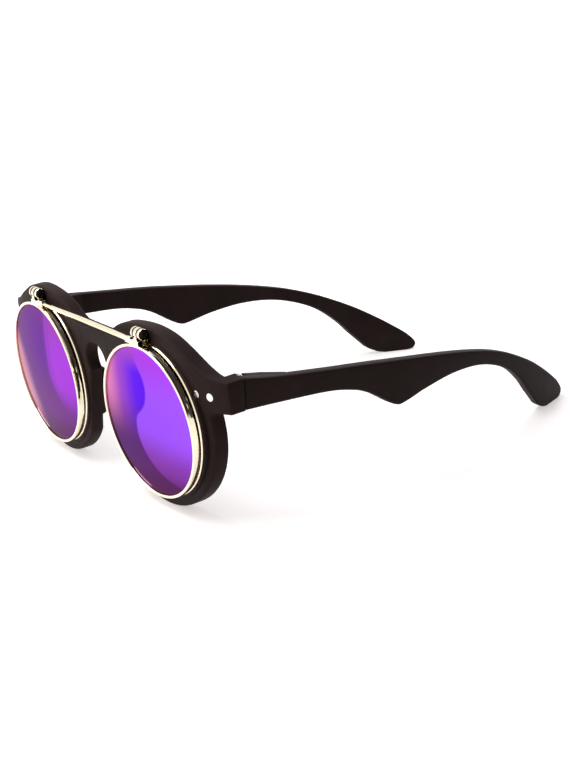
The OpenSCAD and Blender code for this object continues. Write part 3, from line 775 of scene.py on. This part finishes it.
class GlassesSizes(bpy.types.PropertyGroup):
    """Edge radii of the visible pieces, in millimetres."""
    front_edge: bpy.props.FloatProperty(
        name="Front edge", description="Radius of the moulded front's outer edges, in millimetres",
        default=0.9, min=0.2, max=1.5)
    temple_edge: bpy.props.FloatProperty(
        name="Temple edge", description="Radius of the temples' long edges, in millimetres",
        default=0.9, min=0.2, max=1.5)
    wire_edge: bpy.props.FloatProperty(
        name="Wire edge", description="Radius of the metal rings' edges, in millimetres",
        default=0.22, min=0.05, max=0.4)
    fitting_edge: bpy.props.FloatProperty(
        name="Fitting edge", description="Radius of the small hinge pieces' edges, in millimetres",
        default=0.2, min=0.05, max=0.4)


class GlassesColours(bpy.types.PropertyGroup):
    """Base colours of the finishes."""
    plastic: bpy.props.FloatVectorProperty(
        name="Plastic", description="Dark tone of the soft-touch plastic", subtype="COLOR",
        size=3, min=0, max=1, default=screen(43, 31, 30))
    plastic_light: bpy.props.FloatVectorProperty(
        name="Plastic light", description="Lighter tone of the soft-touch plastic", subtype="COLOR",
        size=3, min=0, max=1, default=screen(52, 39, 37))
    gold: bpy.props.FloatVectorProperty(
        name="Gold", description="Colour of the gold metal", subtype="COLOR",
        size=3, min=0, max=1, default=screen(255, 243, 214))
    silver: bpy.props.FloatVectorProperty(
        name="Silver", description="Colour of the steel screws, rivets and leaves", subtype="COLOR",
        size=3, min=0, max=1, default=screen(235, 235, 238))
    tint: bpy.props.FloatVectorProperty(
        name="Tint", description="Colour of the fixed dark lenses", subtype="COLOR",
        size=3, min=0, max=1, default=screen(26, 20, 27))


# The moulded front


def front_outline():
    """Outer edge of the right half, from the bridge's top round to the keyhole's top."""
    corner_v = ENDPIECE_LOW - CORNER_R
    corner_reach = sqrt((RIM_R + CORNER_R) ** 2 - corner_v ** 2)
    corner_turn = degrees(atan2(corner_v, corner_reach))
    brow = spline([
        (KEYHOLE_R + 2.4, BRIDGE_TOP), (LENS_X - 21.5, BROW_R - 5.1), (LENS_X - 17, BROW_R - 2.7),
        (LENS_X - 11.5, BROW_R - 0.9), (LENS_X - 3.5, BROW_R), (LENS_X + 3.5, BROW_R - 0.1),
        (LENS_X + 10.5, BROW_R - 1.5), (LENS_X + 16.5, BROW_R - 4.1), (END_X - 13.5, ENDPIECE_TOP + 4.8),
        (END_X - 9.5, ENDPIECE_TOP + 2.6), (END_X - 5.5, ENDPIECE_TOP + 1), (END_X, ENDPIECE_TOP)], 5)
    corner = arc(LENS_X + corner_reach, corner_v, CORNER_R, 90, 180 + corner_turn, 6)
    # The nose opening's straight side, as an angle and a distance from the mid-point
    flare = NOSE_FLARE
    reach = NOSE_GAP / 2 * cos(radians(flare))
    rim_away = LENS_X * cos(radians(flare)) - reach
    rim_open = degrees(acos(rim_away / RIM_R))
    rim = arc(LENS_X, 0, RIM_R, corner_turn, -180 + flare + rim_open, 60)
    key_away = reach - KEYHOLE_V * sin(radians(flare))
    key_open = degrees(acos(key_away / KEYHOLE_R))
    keyhole = arc(0, KEYHOLE_V, KEYHOLE_R, flare - key_open, 90, 18)
    return [(0, BRIDGE_TOP)] + brow + [(END_X, ENDPIECE_LOW)] + corner + rim[1:] + keyhole


def front_share(a, b):
    """How round an edge of the flat front becomes, from its two ends."""
    near, far = min(a.y, b.y), max(a.y, b.y)
    on_seams = abs(abs(a.x) - WALL_X) < 0.01 and abs(abs(b.x) - WALL_X) < 0.01
    if on_seams and far < FRONT_T + 0.01:
        # The seams that the endpieces' walls start from stay flat
        return 0.0
    outer = min(abs(a.x), abs(b.x)) > END_X - 0.01
    if far < 0.01:
        return 0.5 if outer else 1.0
    if abs(near - FRONT_T) < 0.01 and abs(far - FRONT_T) < 0.01:
        return 0.85 if abs(a.x + b.x) / 2 < WALL_X - 0.01 else 0.0
    if near > FRONT_T + FLAT_WALL - 0.01:
        return 0.3
    return 0.5 if outer and far - near > 0.01 else 0.0


class GLASSES_OT_front(bpy.types.Operator):
    """Moulds the front with its endpieces, nose pads and lens seats"""
    bl_idname = "glasses.front"
    bl_label = "Front"

    def execute(self, context):
        half = front_outline()
        outline = half + [(-x, v) for x, v in reversed(half[1:-1])]
        obj = prism("front_frame_moulding", outline, lambda a, b: (a, 0, b), (0, FRONT_T, 0))
        slice_mesh(obj, (1, 0, 0), (-WALL_X, WALL_X))
        edit(obj, "FACE")
        pick(obj, "FACE", lambda f: f.normal.y > 0.9 and abs(f.calc_center_median().x) > WALL_X)
        bpy.ops.mesh.extrude_region_move(TRANSFORM_OT_translate={"value": (0, FLAT_WALL, 0)})
        leave()
        round_edges(obj, context.scene.glasses_sizes.front_edge, front_share)
        # The swept ends bend more, so they are sliced more finely
        slices = [1 - END_X]
        while slices[-1] < END_X:
            slices.append(slices[-1] + (1.0 if abs(slices[-1]) > SWEEP_X - 2 else 3.0))
        slice_mesh(obj, (1, 0, 0), slices[:-1])
        for vertex in obj.data.vertices:
            x, w, v = abs(vertex.co.x), vertex.co.y, vertex.co.z
            if w <= FRONT_T + 1e-4:
                vertex.co.y = face_w(x) + w / FRONT_T * (back_w(x) - face_w(x))
            else:
                joint = (JOINT_RAW + v * sin(TILT)) / cos(TILT)
                vertex.co.y = back_w(x) + (w - FRONT_T) / FLAT_WALL * (joint - back_w(x))
        placed(obj, AT_FRONT)
        self.carve(obj)
        settle(obj, "front", plastic(), ["front_frame"], 40)
        return {"FINISHED"}

    def carve(self, obj):
        """Joins the seats and pads, and cuts every seat and bore."""
        for side in (-1, 1):
            seat = lathe("seat", [
                (OPENING_R - 1, 0), (RAISED_R - 0.12, 0), (RAISED_R - 0.03, 0.03), (RAISED_R, 0.12),
                (RAISED_R, 2.2), (OPENING_R - 1, 2.2)], 144)
            join(obj, seat, at_lens(side))
            line = arc(0, 0, PAD_R, 90, 0, 10) + arc(0, -PAD_L, PAD_R, 0, -90, 10)
            pad = lathe("pad", line, 40, solid=True)
            flare = radians(NOSE_FLARE)
            x = NOSE_GAP / 2 - PAD_TOP * tan(flare) + PAD_R / cos(flare) + 0.1
            place = AT_FRONT @ move(x, back_w(x) + PAD_PROUD - PAD_R, PAD_TOP) @ turn(-flare, "Y")
            join(obj, pad, HANDS[side] @ place)
        groove_r = REAR_LENS_R + PLAY
        groove_end = REAR_LENS_W + REAR_LENS_T
        for side in (-1, 1):
            opening = lathe("opening", [
                (0, -20), (TRIM_R + PLAY, -20), (TRIM_R + PLAY, TRIM_SEAT), (OPENING_R, TRIM_SEAT),
                (OPENING_R, REAR_LENS_W - 0.1), (groove_r, REAR_LENS_W - 0.1), (groove_r, groove_end),
                (OPENING_R, groove_end), (OPENING_R, 20), (0, 20)], 144, solid=True)
            cut(obj, opening, at_lens(side))
            cut(obj, block("land", (-5.1, 0, -12), (5.0, 3, 12)), HANDS[side] @ AT_LAND)
            for i in (0, 1):
                bore = cylinder("bore", RIVET_HEAD_R + PLAY, -RIVET_SUNK, 3)
                cut(obj, bore, HANDS[side] @ at_rivet(i))
            cut(obj, cylinder("bore", BASE_HEAD_R + PLAY, -0.8, 5), HANDS[side] @ AT_BASE_SCREW)


class GLASSES_OT_trim(bpy.types.Operator):
    """Turns the gold trim rings round the fixed lenses"""
    bl_idname = "glasses.trim"
    bl_label = "Trim rings"

    def execute(self, context):
        edge = context.scene.glasses_sizes.wire_edge * 2
        ring = ring_of("trim_ring_turned_right", TRIM_IN, TRIM_R, -TRIM_PROUD, TRIM_SEAT, edge)
        other = twin(ring, "trim_ring_turned_left", at_lens(-1))
        placed(ring, at_lens(1))
        settle(ring, "front", gold(), ["trim_ring_right"])
        settle(other, "front", gold(), ["trim_ring_left"])
        return {"FINISHED"}


def ring_of(name, r_in, r_out, z0, z1, edge, groove=()):
    """A turned ring whose four edges are rounded. groove holds the points of a groove inside it."""
    top_out, top_in, low_in, low_out = (arc(r, z, edge, start, start + 90, 3) for r, z, start in (
        (r_out - edge, z1 - edge, 0), (r_in + edge, z1 - edge, 90),
        (r_in + edge, z0 + edge, 180), (r_out - edge, z0 + edge, 270)))
    return lathe(name, top_out + top_in + list(groove) + low_in + low_out, 160)


def dome_of(name, radius, thick, base, edge):
    """A thin domed lens: its rim runs from z = 0 to its thickness and its middle stands forward."""
    rings = 14
    depth = sag(base, radius)
    front = [(radius * i / rings, -depth + sag(base, radius * i / rings)) for i in range(rings)]
    back = [(r, z + thick) for r, z in reversed(front)]
    rim = [(radius - edge, -depth + sag(base, radius - edge)), (radius, edge), (radius, thick - edge),
           (radius - edge, thick - depth + sag(base, radius - edge))]
    return lathe(name, front + rim + back, 128, solid=True)


class GLASSES_OT_lenses(bpy.types.Operator):
    """Grinds the mirrored lenses and the fixed dark lenses"""
    bl_idname = "glasses.lenses"
    bl_label = "Lenses"

    def execute(self, context):
        for side, word in SIDES:
            obj = dome_of("flip_lens_ground_" + word, FLIP_LENS_R, FLIP_LENS_T, LENS_BASE_R, 0.1)
            placed(obj, at_flip_lens(side) @ move(0, 0, LENS_RECESS - EYEWIRE_FRONT))
            settle(obj, "flip_up", mirror(side), ["flip_lens_" + word], 50)
            obj = dome_of("rear_lens_ground_" + word, REAR_LENS_R, REAR_LENS_T, LENS_BASE_R, 0.12)
            placed(obj, at_lens(side) @ move(0, 0, REAR_LENS_W))
            settle(obj, "front", tint(), ["rear_lens_" + word], 50)
        return {"FINISHED"}


class GLASSES_OT_flip(bpy.types.Operator):
    """Makes the flip-up's rims, arms and brow bar"""
    bl_idname = "glasses.flip"
    bl_label = "Flip-up"

    def execute(self, context):
        sizes = context.scene.glasses_sizes
        edge = sizes.fitting_edge
        block_top = KNUCKLE_R + 0.25
        block_low = HINGE_RISE + 0.3
        block_front = EYEWIRE_FRONT - 0.05
        block_back = 0.1
        bar_w = (block_front + block_back) / 2
        bar_v = block_top + BAR_D / 2 - 0.2
        bar_x = LENS_X - BLOCK_L
        half = ARM_W / 2
        groove_r = FLIP_LENS_R + PLAY
        groove_low = LENS_RECESS - EYEWIRE_FRONT - 0.05
        groove_top = LENS_RECESS - EYEWIRE_FRONT + FLIP_LENS_T + PLAY
        for side, word in SIDES:
            rim = ring_of("flip_rim_drawn_" + word, LENS_R, EYEWIRE_R, -EYEWIRE_FRONT, EYEWIRE_BACK,
                          sizes.wire_edge * 0.6, (
                              (LENS_R, groove_top), (groove_r, groove_top), (groove_r, groove_low),
                              (LENS_R, groove_low)))
            saw = block("saw", (-SAW_CUT / 2, -EYEWIRE_R - 1, -5), (SAW_CUT / 2, -EYEWIRE_R + 2, 5))
            cut(rim, saw, turn(radians(SAW_CUT_TURN), "Z"))
            placed(rim, at_flip_lens(side))
            settle(rim, "flip_up", gold(), ["flip_rim_" + word])
            # The arm's solder block reaches towards the nose
            nose = -side
            arm = cylinder("flip_arm_formed_" + word, KNUCKLE_R, -half, half, "X", 48, edge * 1.5)
            cut(arm, cylinder("bore", HINGE_BORE_R, -6, 6, "X", 32))
            join(arm, block("stem", (0.04 - half, 0.04 - KNUCKLE_R, -block_top - 0.5),
                            (half - 0.04, -block_back, -0.95)))
            join(arm, block("foot", (-nose * 1.6, -block_front, -block_low),
                            (nose * BLOCK_L, -block_back, -block_top), edge))
            join(arm, block("clamp", (nose * 3.2, PLAY - block_front, 0.3 - block_low),
                            (nose * (BLOCK_L - PLAY), -block_back - PLAY, BAR_D / 2 - bar_v + 0.25), edge))
            placed(arm, AT_FLIP @ move(side * LENS_X, 0, 0))
            cut(arm, cylinder("wire", EYEWIRE_R + PLAY, -5, 5, "Z", 160), at_flip_lens(side))
            settle(arm, "flip_up", hinge_gold(), ["flip_arm_" + word])
        end = bar_x + 1
        bar = cylinder("brow_bar_drawn", BAR_D / 2, -end, end, "X", 40, 0.1)
        cut(bar, block("line", (-bar_x, -BAR_D, -0.1), (bar_x, 0.12 - BAR_D / 2, 0.1)))
        placed(bar, AT_FLIP @ move(0, -bar_w, -bar_v))
        settle(bar, "flip_up", gold(), ["brow_bar"])
        return {"FINISHED"}


class GLASSES_OT_hinges(bpy.types.Operator):
    """Forms the flip-up's hinge bases on the brow"""
    bl_idname = "glasses.hinges"
    bl_label = "Hinge bases"

    def execute(self, context):
        edge = context.scene.glasses_sizes.fitting_edge
        face = KNUCKLE_R + KNUCKLE_BACK
        foot_w = face - FOOT_T
        foot_low = TRIM_R + PLAY - HINGE_V
        foot_top = -sqrt(face * face - foot_w * foot_w)
        for side, word in SIDES:
            base = block("hinge_base_formed_" + word, (-STACK, foot_w, foot_low),
                         (STACK, face + 0.8, foot_top), edge * 0.6)
            for x in (-STACK, STACK - EAR_W):
                join(base, cylinder("ear", KNUCKLE_R, x, x + EAR_W, "X", 48, edge * 1.5))
                join(base, block("web", (x + 0.05, 0.55, foot_low + 0.1),
                                 (x + EAR_W - 0.05, KNUCKLE_R - 0.03, -0.2)))
            placed(base, at_hinge(side))
            cut(base, cylinder("seat", RAISED_R, 0, 3, "Z", 144), at_lens(side))
            cut(base, cylinder("ring", TRIM_R + PLAY, -5, 5, "Z", 144), at_lens(side))
            face_cut = block("face_cut", (-8, SEAT_DEPTH + 0.01, 15), (8, SEAT_DEPTH + 6, 40))
            cut(base, face_cut, AT_FRONT @ move(side * LENS_X, 0, 0))
            cut(base, cylinder("bore", HINGE_BORE_R, -6, 6, "X", 32), at_hinge(side))
            cut(base, cylinder("sink", 1.2, STACK - 0.45, STACK + 1, "X", 40), at_hinge(side))
            settle(base, "front", hinge_gold(), ["hinge_base_" + word])
        return {"FINISHED"}


def cap_line(radius, rise, top, steps):
    """The section of a low dome, from its middle to its edge."""
    turns = [radians(90 * i / steps) for i in range(steps + 1)]
    return [(radius * sin(a), top + rise * (cos(a) - 1)) for a in turns]


def screw_of(name, head_r, head_h, shank_r, low, dome, slot=0.35):
    """A slotted screw: its head ends at z = 0 in a low dome, and its shank reaches down to low."""
    obj = lathe(name, cap_line(head_r, dome, 0, 6) + [
        (head_r, -head_h), (shank_r, -head_h), (shank_r, low + 0.1),
        (shank_r - 0.1, low), (0, low)], 40, solid=True)
    cut(obj, block("slot", (-head_r - 1, -slot / 2, -head_h * 0.6), (head_r + 1, slot / 2, 1)))
    return obj


class GLASSES_OT_fasteners(bpy.types.Operator):
    """Turns the rivets and the slotted screws"""
    bl_idname = "glasses.fasteners"
    bl_label = "Rivets and screws"

    def execute(self, context):
        base_low = SEAT_DEPTH - back_w(LENS_X) - 0.5
        for side, word in SIDES:
            hand = HANDS[side]
            rivets = []
            for i in (0, 1):
                low = face_w(RIVET_X[i]) - back_w(RIVET_X[i]) - 0.9
                rivet = lathe("front_rivets_turned_" + word, cap_line(RIVET_HEAD_R, 0.1, 0.12, 9) + [
                    (RIVET_HEAD_R, -RIVET_SUNK), (RIVET_R, -RIVET_SUNK), (RIVET_R, low), (0, low)],
                    48, solid=True)
                rivets.append(placed(rivet, hand @ at_rivet(i)))
            activate(rivets[0])
            rivets[1].select_set(True)
            bpy.ops.object.join()
            settle(rivets[0], "front", silver(), ["front_rivets_" + word])
            for kind, slot, finish, place, sizes in (
                    # The flip screws are gold metal, and their dark steel is painted shade
                    ("flip", "gold_metal", painted_shade_steel(),
                     at_hinge(side) @ move(STACK - 0.05, 0, 0) @ turn(pi / 2, "Y"),
                     {"head_r": 1.15, "head_h": 0.4, "shank_r": 0.6,
                      "low": 0.05 - 2 * STACK, "dome": 0.08}),
                    ("base", "silver_steel", silver(), hand @ AT_BASE_SCREW @ move(0, 0, -0.15),
                     {"head_r": BASE_HEAD_R, "head_h": 0.65, "shank_r": 0.5, "low": base_low, "dome": 0.1}),
                    ("pivot", "silver_steel", silver(),
                     hand @ move(PIVOT_X, PIVOT_Y, PIVOT_Z + PIVOT_HALF + 0.6),
                     {"head_r": 1.2, "head_h": 0.6, "slot": 0.4, "shank_r": 0.7,
                      "low": -2 * PIVOT_HALF - 0.6, "dome": 0.1})):
                screw = screw_of(kind + "_screw_turned_" + word, **sizes)
                settle(placed(screw, place), "front", finish, [kind + "_screw_" + word])
        for _, word in SIDES:
            for stem in ("front_leaf_", "temple_leaf_", "leaf_screws_"):
                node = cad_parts[stem + word]
                node.data.materials.clear()
                node.data.materials.append(silver())
        return {"FINISHED"}


# The temples


def temple_outline():
    """Side outline of a temple, as distances behind its front end and heights."""
    arm_l = TEMPLE_L - TIP_L
    rise = PADDLE_H - SLIM_H
    drop = PADDLE_H - NECK_H
    line = [
        (0, 1, TEMPLE_H), (0.093, 0.916, SLIM_H + 0.43 * (TEMPLE_H - SLIM_H)), (0.243, 0.826, SLIM_H),
        (0.32, 0.784, SLIM_H + 0.1 * rise), (0.36, 0.76, SLIM_H + 0.26 * rise),
        (0.397, 0.738, SLIM_H + 0.52 * rise), (0.437, 0.709, SLIM_H + 0.85 * rise),
        (0.462, 0.692, PADDLE_H), (0.482, 0.678, PADDLE_H), (0.522, 0.648, NECK_H + 0.825 * drop),
        (0.571, 0.612, NECK_H + 0.6 * drop), (0.668, 0.529, NECK_H + 0.24 * drop),
        (0.765, 0.427, NECK_H + 0.3), (0.85, 0.312, NECK_H), (0.935, 0.154, NECK_H + 1),
        (1, 0, NECK_H + 3.8)]
    over = ((0.26, 0.83), (0.55, 0.603), (0.81, 0.372), (0.92, 0.256), (1, 0.124), (0.97, 0.025), (0.9, 0))
    under = ((0.61, 0), (0.5, 0.033), (0.387, 0.116), (0.323, 0.198), (0.16, 0.413))
    tops = [(s * arm_l, BEND_H + fall * (TEMPLE_TOP - BEND_H)) for s, fall, height in line]
    feet = [(s, z - height) for (s, z), (_, _, height) in zip(tops, line)]
    upper = tops + [(arm_l + s * TIP_L, z * BEND_H) for s, z in over]
    lower = [(arm_l + s * TIP_L, z * BEND_H) for s, z in under] + feet[::-1]
    return spline(upper, 4) + spline(lower, 4)


def temple_share(a, b):
    """How round an edge of the flat temple becomes, from its two ends."""
    front_end = max(a.y, b.y) < 0.01
    if min(a.x, b.x) > END_X - 0.01:
        return 0.4 if front_end else 1.0
    if max(a.x, b.x) < INNER_X + 0.01:
        return 0.3 if front_end else 0.85
    return 0.4 if front_end else 0.0


class GLASSES_OT_temples(bpy.types.Operator):
    """Moulds the two folding temples with their hinge blocks"""
    bl_idname = "glasses.temples"
    bl_label = "Temples"

    def execute(self, context):
        outline = temple_outline()
        obj = prism("temple_moulding_right", outline, lambda s, z: (INNER_X, s, z), (TEMPLE_T, 0, 0))
        round_edges(obj, context.scene.glasses_sizes.temple_edge, temple_share)
        slice_mesh(obj, (0, 1, 0), range(2, ceil(TEMPLE_L), 4))
        run = TEMPLE_L - STRAIGHT_L
        inner_curl = sag(CURL_R, run) + TIP_T / cos(asin(run / CURL_R)) - TEMPLE_T
        inner_r = (run * run + inner_curl * inner_curl) / (2 * inner_curl)
        for vertex in obj.data.vertices:
            across = (vertex.co.x - INNER_X) / TEMPLE_T
            behind = max(vertex.co.y - STRAIGHT_L, 0)
            inner = INNER_X - sag(inner_r, behind)
            outer = END_X - sag(CURL_R, behind)
            vertex.co.x = inner + across * (outer - inner)
        # The block for the hinge leaf, which ends in a slope and keeps within the temple's outline
        start = BLOCK_Y - TEMPLE_Y
        block_x = INNER_X - BLOCK_T
        pad = prism("pad", [(INNER_X + 0.6, start), (block_x, start), (block_x, start + 7),
                            (INNER_X, start + 14), (INNER_X + 0.6, start + 14)],
                    lambda a, b: (a, b, 0), (0, 0, 60))
        cut(pad, prism("side", outline, lambda s, z: (INNER_X - 8, s, z), (16, 0, 0)), how="INTERSECT")
        bevel(pad, 0.35)
        join(obj, pad)
        placed(obj, move(0, TEMPLE_Y, 0))
        low, high = PIVOT_Z - LEAF_BELOW, PIVOT_Z + LEAF_ABOVE
        cut(obj, block("rebate", (INNER_X - LEAF_T - PLAY, BLOCK_Y - 1, low - PLAY),
                       (INNER_X + PLAY, BLOCK_Y + LEAF_L + PLAY, high + PLAY)))
        for y in LEAF_SCREWS:
            sink = cylinder("sink", 0.92, -0.4, 3, "Z", 40)
            cut(obj, sink, move(block_x, BLOCK_Y + y, (low + high) / 2) @ turn(-pi / 2, "Y"))
        other = twin(obj, "temple_moulding_left", MIRROR)
        settle(obj, "temple_arm_right", plastic(), ["temple_right"], 40)
        settle(other, "temple_arm_left", plastic(), ["temple_left"], 40)
        return {"FINISHED"}


# The stage


class GLASSES_OT_stage(bpy.types.Operator):
    """Lays the pale floor and sets the lamps, the world and the camera"""
    bl_idname = "glasses.stage"
    bl_label = "Stage"

    def execute(self, context):
        clear_selection()
        bpy.ops.mesh.primitive_plane_add(size=1, location=(0, 0, 0))
        floor = context.active_object
        floor.name = "floor"
        floor.data.transform(move(0, 0, -0.00002) @ Matrix.Scale(8, 4))
        material = bpy.data.materials.new("white_floor")
        tree = nodes_of(material)
        rays = add(tree, "ShaderNodeLightPath").outputs
        seen = plus(tree, rays["Is Camera Ray"], rays["Is Glossy Ray"])
        seen = plus(tree, seen, rays["Is Transmission Ray"], True)
        place = add(tree, "ShaderNodeTexCoord").outputs
        away = add(tree, "ShaderNodeVectorMath", {0: place["Object"]}, operation="LENGTH")
        # Near the object the floor glows at about half strength in a warm white and the lamps light the
        # rest, leaving its shadow with a painted warm tint; far away it glows white
        glow = add(tree, "ShaderNodeMapRange", {
            "Value": away.outputs["Value"], "From Min": 0.12, "From Max": 0.9,
            "To Min": 0.56, "To Max": 1.0})
        shader = add(tree, "ShaderNodeBsdfPrincipled", {
            "Base Color": (*screen(236, 236, 238), 1), "Roughness": 0.45,
            "Emission Color": (*screen(255, 248, 246), 1),
            "Emission Strength": times(tree, seen, glow.outputs[0])})
        add(tree, "ShaderNodeOutputMaterial", {"Surface": shader.outputs[0]})
        floor.data.materials.append(material)
        self.light_world()
        self.add_lamp("key", (-0.10, -0.25, 0.62), (0.0, -0.04, 0.02), 0.5, 3.2)
        self.add_lamp("fill", (-0.35, -0.70, 0.30), (0.0, -0.05, 0.02), 0.45, 1.6)
        self.add_lamp("back", (-0.25, 0.55, 0.50), (0.0, 0.0, 0.02), 0.35, 0.8)
        self.add_camera()
        context.scene.view_settings.view_transform = "Standard"
        return {"FINISHED"}

    def light_world(self):
        """White behind the object, with a dark ceiling at the back that polished metal reflects."""
        world = bpy.data.worlds.new("studio")
        tree = nodes_of(world)
        rays = add(tree, "ShaderNodeLightPath").outputs
        place = split(tree, add(tree, "ShaderNodeTexCoord").outputs["Generated"])
        rear = times(tree, fade(tree, place["Z"], 0.12, 0.3), fade(tree, place["Y"], 0.0, 0.25))
        dark = times(tree, rear, fade(tree, place["X"], -0.55, -0.3))
        ceiling = minus(tree, 1.0, times(tree, dark, 0.97))
        shown = plus(tree, rays["Is Camera Ray"], rays["Is Transmission Ray"], True)
        bright = plus(tree, shown, times(tree, rays["Is Glossy Ray"], ceiling), True)
        seen = plus(tree, shown, rays["Is Glossy Ray"], True)
        dim = times(tree, minus(tree, 1.0, seen), 0.08)
        light = add(tree, "ShaderNodeBackground", {
            "Color": (1, 1, 1, 1), "Strength": plus(tree, bright, dim)})
        add(tree, "ShaderNodeOutputWorld", {"Surface": light.outputs[0]})
        bpy.context.scene.world = world

    def add_lamp(self, name, place, target, size, power):
        data = bpy.data.lights.new(name, "AREA")
        data.shape = "DISK"
        data.size = size
        data.energy = power
        lamp = bpy.data.objects.new(name, data)
        bpy.context.scene.collection.objects.link(lamp)
        aim = Vector(target) - Vector(place)
        lamp.matrix_world = Matrix.Translation(place) @ aim.to_track_quat("-Z", "Y").to_matrix().to_4x4()

    def add_camera(self):
        # The view that fits the photograph: its direction, its height and a slight roll
        around, height, roll = radians(53.55), radians(18.3), radians(-2.28)
        across = Vector((cos(around), sin(around), 0))
        ahead = Vector((-sin(around) * cos(height), cos(around) * cos(height),
                        -sin(height)))
        up = across.cross(ahead)
        right = across * cos(roll) + up * sin(roll)
        top = up * cos(roll) - across * sin(roll)
        turned = Matrix((right, top, -ahead)).transposed().to_4x4()
        data = bpy.data.cameras.new("camera")
        data.sensor_width = 36
        data.lens = 69.149
        data.shift_x = -0.0738
        data.shift_y = 0.00996
        data.clip_start = 0.01
        camera = bpy.data.objects.new("camera", data)
        bpy.context.scene.collection.objects.link(camera)
        camera.matrix_world = Matrix.Translation((0.41387, -0.28781, 0.17662)) @ turned
        bpy.context.scene.camera = camera


OPERATORS = (
    GLASSES_OT_front, GLASSES_OT_trim, GLASSES_OT_lenses, GLASSES_OT_flip,
    GLASSES_OT_hinges, GLASSES_OT_fasteners, GLASSES_OT_temples, GLASSES_OT_stage,
)


class GLASSES_PT_panel(bpy.types.Panel):
    """Sidebar panel with every step of the sunglasses"""
    bl_idname = "GLASSES_PT_panel"
    bl_label = "Sunglasses"
    bl_space_type = "VIEW_3D"
    bl_region_type = "UI"
    bl_category = "Sunglasses"

    def draw(self, context):
        layout = self.layout
        for name in ("front_edge", "temple_edge", "wire_edge", "fitting_edge"):
            layout.prop(context.scene.glasses_sizes, name)
        for name in ("plastic", "plastic_light", "gold", "silver", "tint"):
            layout.prop(context.scene.glasses_colours, name)
        for step in OPERATORS:
            layout.operator(step.bl_idname)


def register():
    for cls in (GlassesSizes, GlassesColours, *OPERATORS, GLASSES_PT_panel):
        bpy.utils.register_class(cls)
    bpy.types.Scene.glasses_sizes = bpy.props.PointerProperty(type=GlassesSizes)
    bpy.types.Scene.glasses_colours = bpy.props.PointerProperty(type=GlassesColours)


def unregister():
    del bpy.types.Scene.glasses_colours
    del bpy.types.Scene.glasses_sizes
    for cls in reversed((GlassesSizes, GlassesColours, *OPERATORS, GLASSES_PT_panel)):
        bpy.utils.unregister_class(cls)


def main():
    register()
    bpy.ops.glasses.front()
    bpy.ops.glasses.trim()
    bpy.ops.glasses.lenses()
    bpy.ops.glasses.flip()
    bpy.ops.glasses.hinges()
    bpy.ops.glasses.fasteners()
    bpy.ops.glasses.temples()
    bpy.ops.glasses.stage()
    clear_selection()


if __name__ == "__main__":
    main()
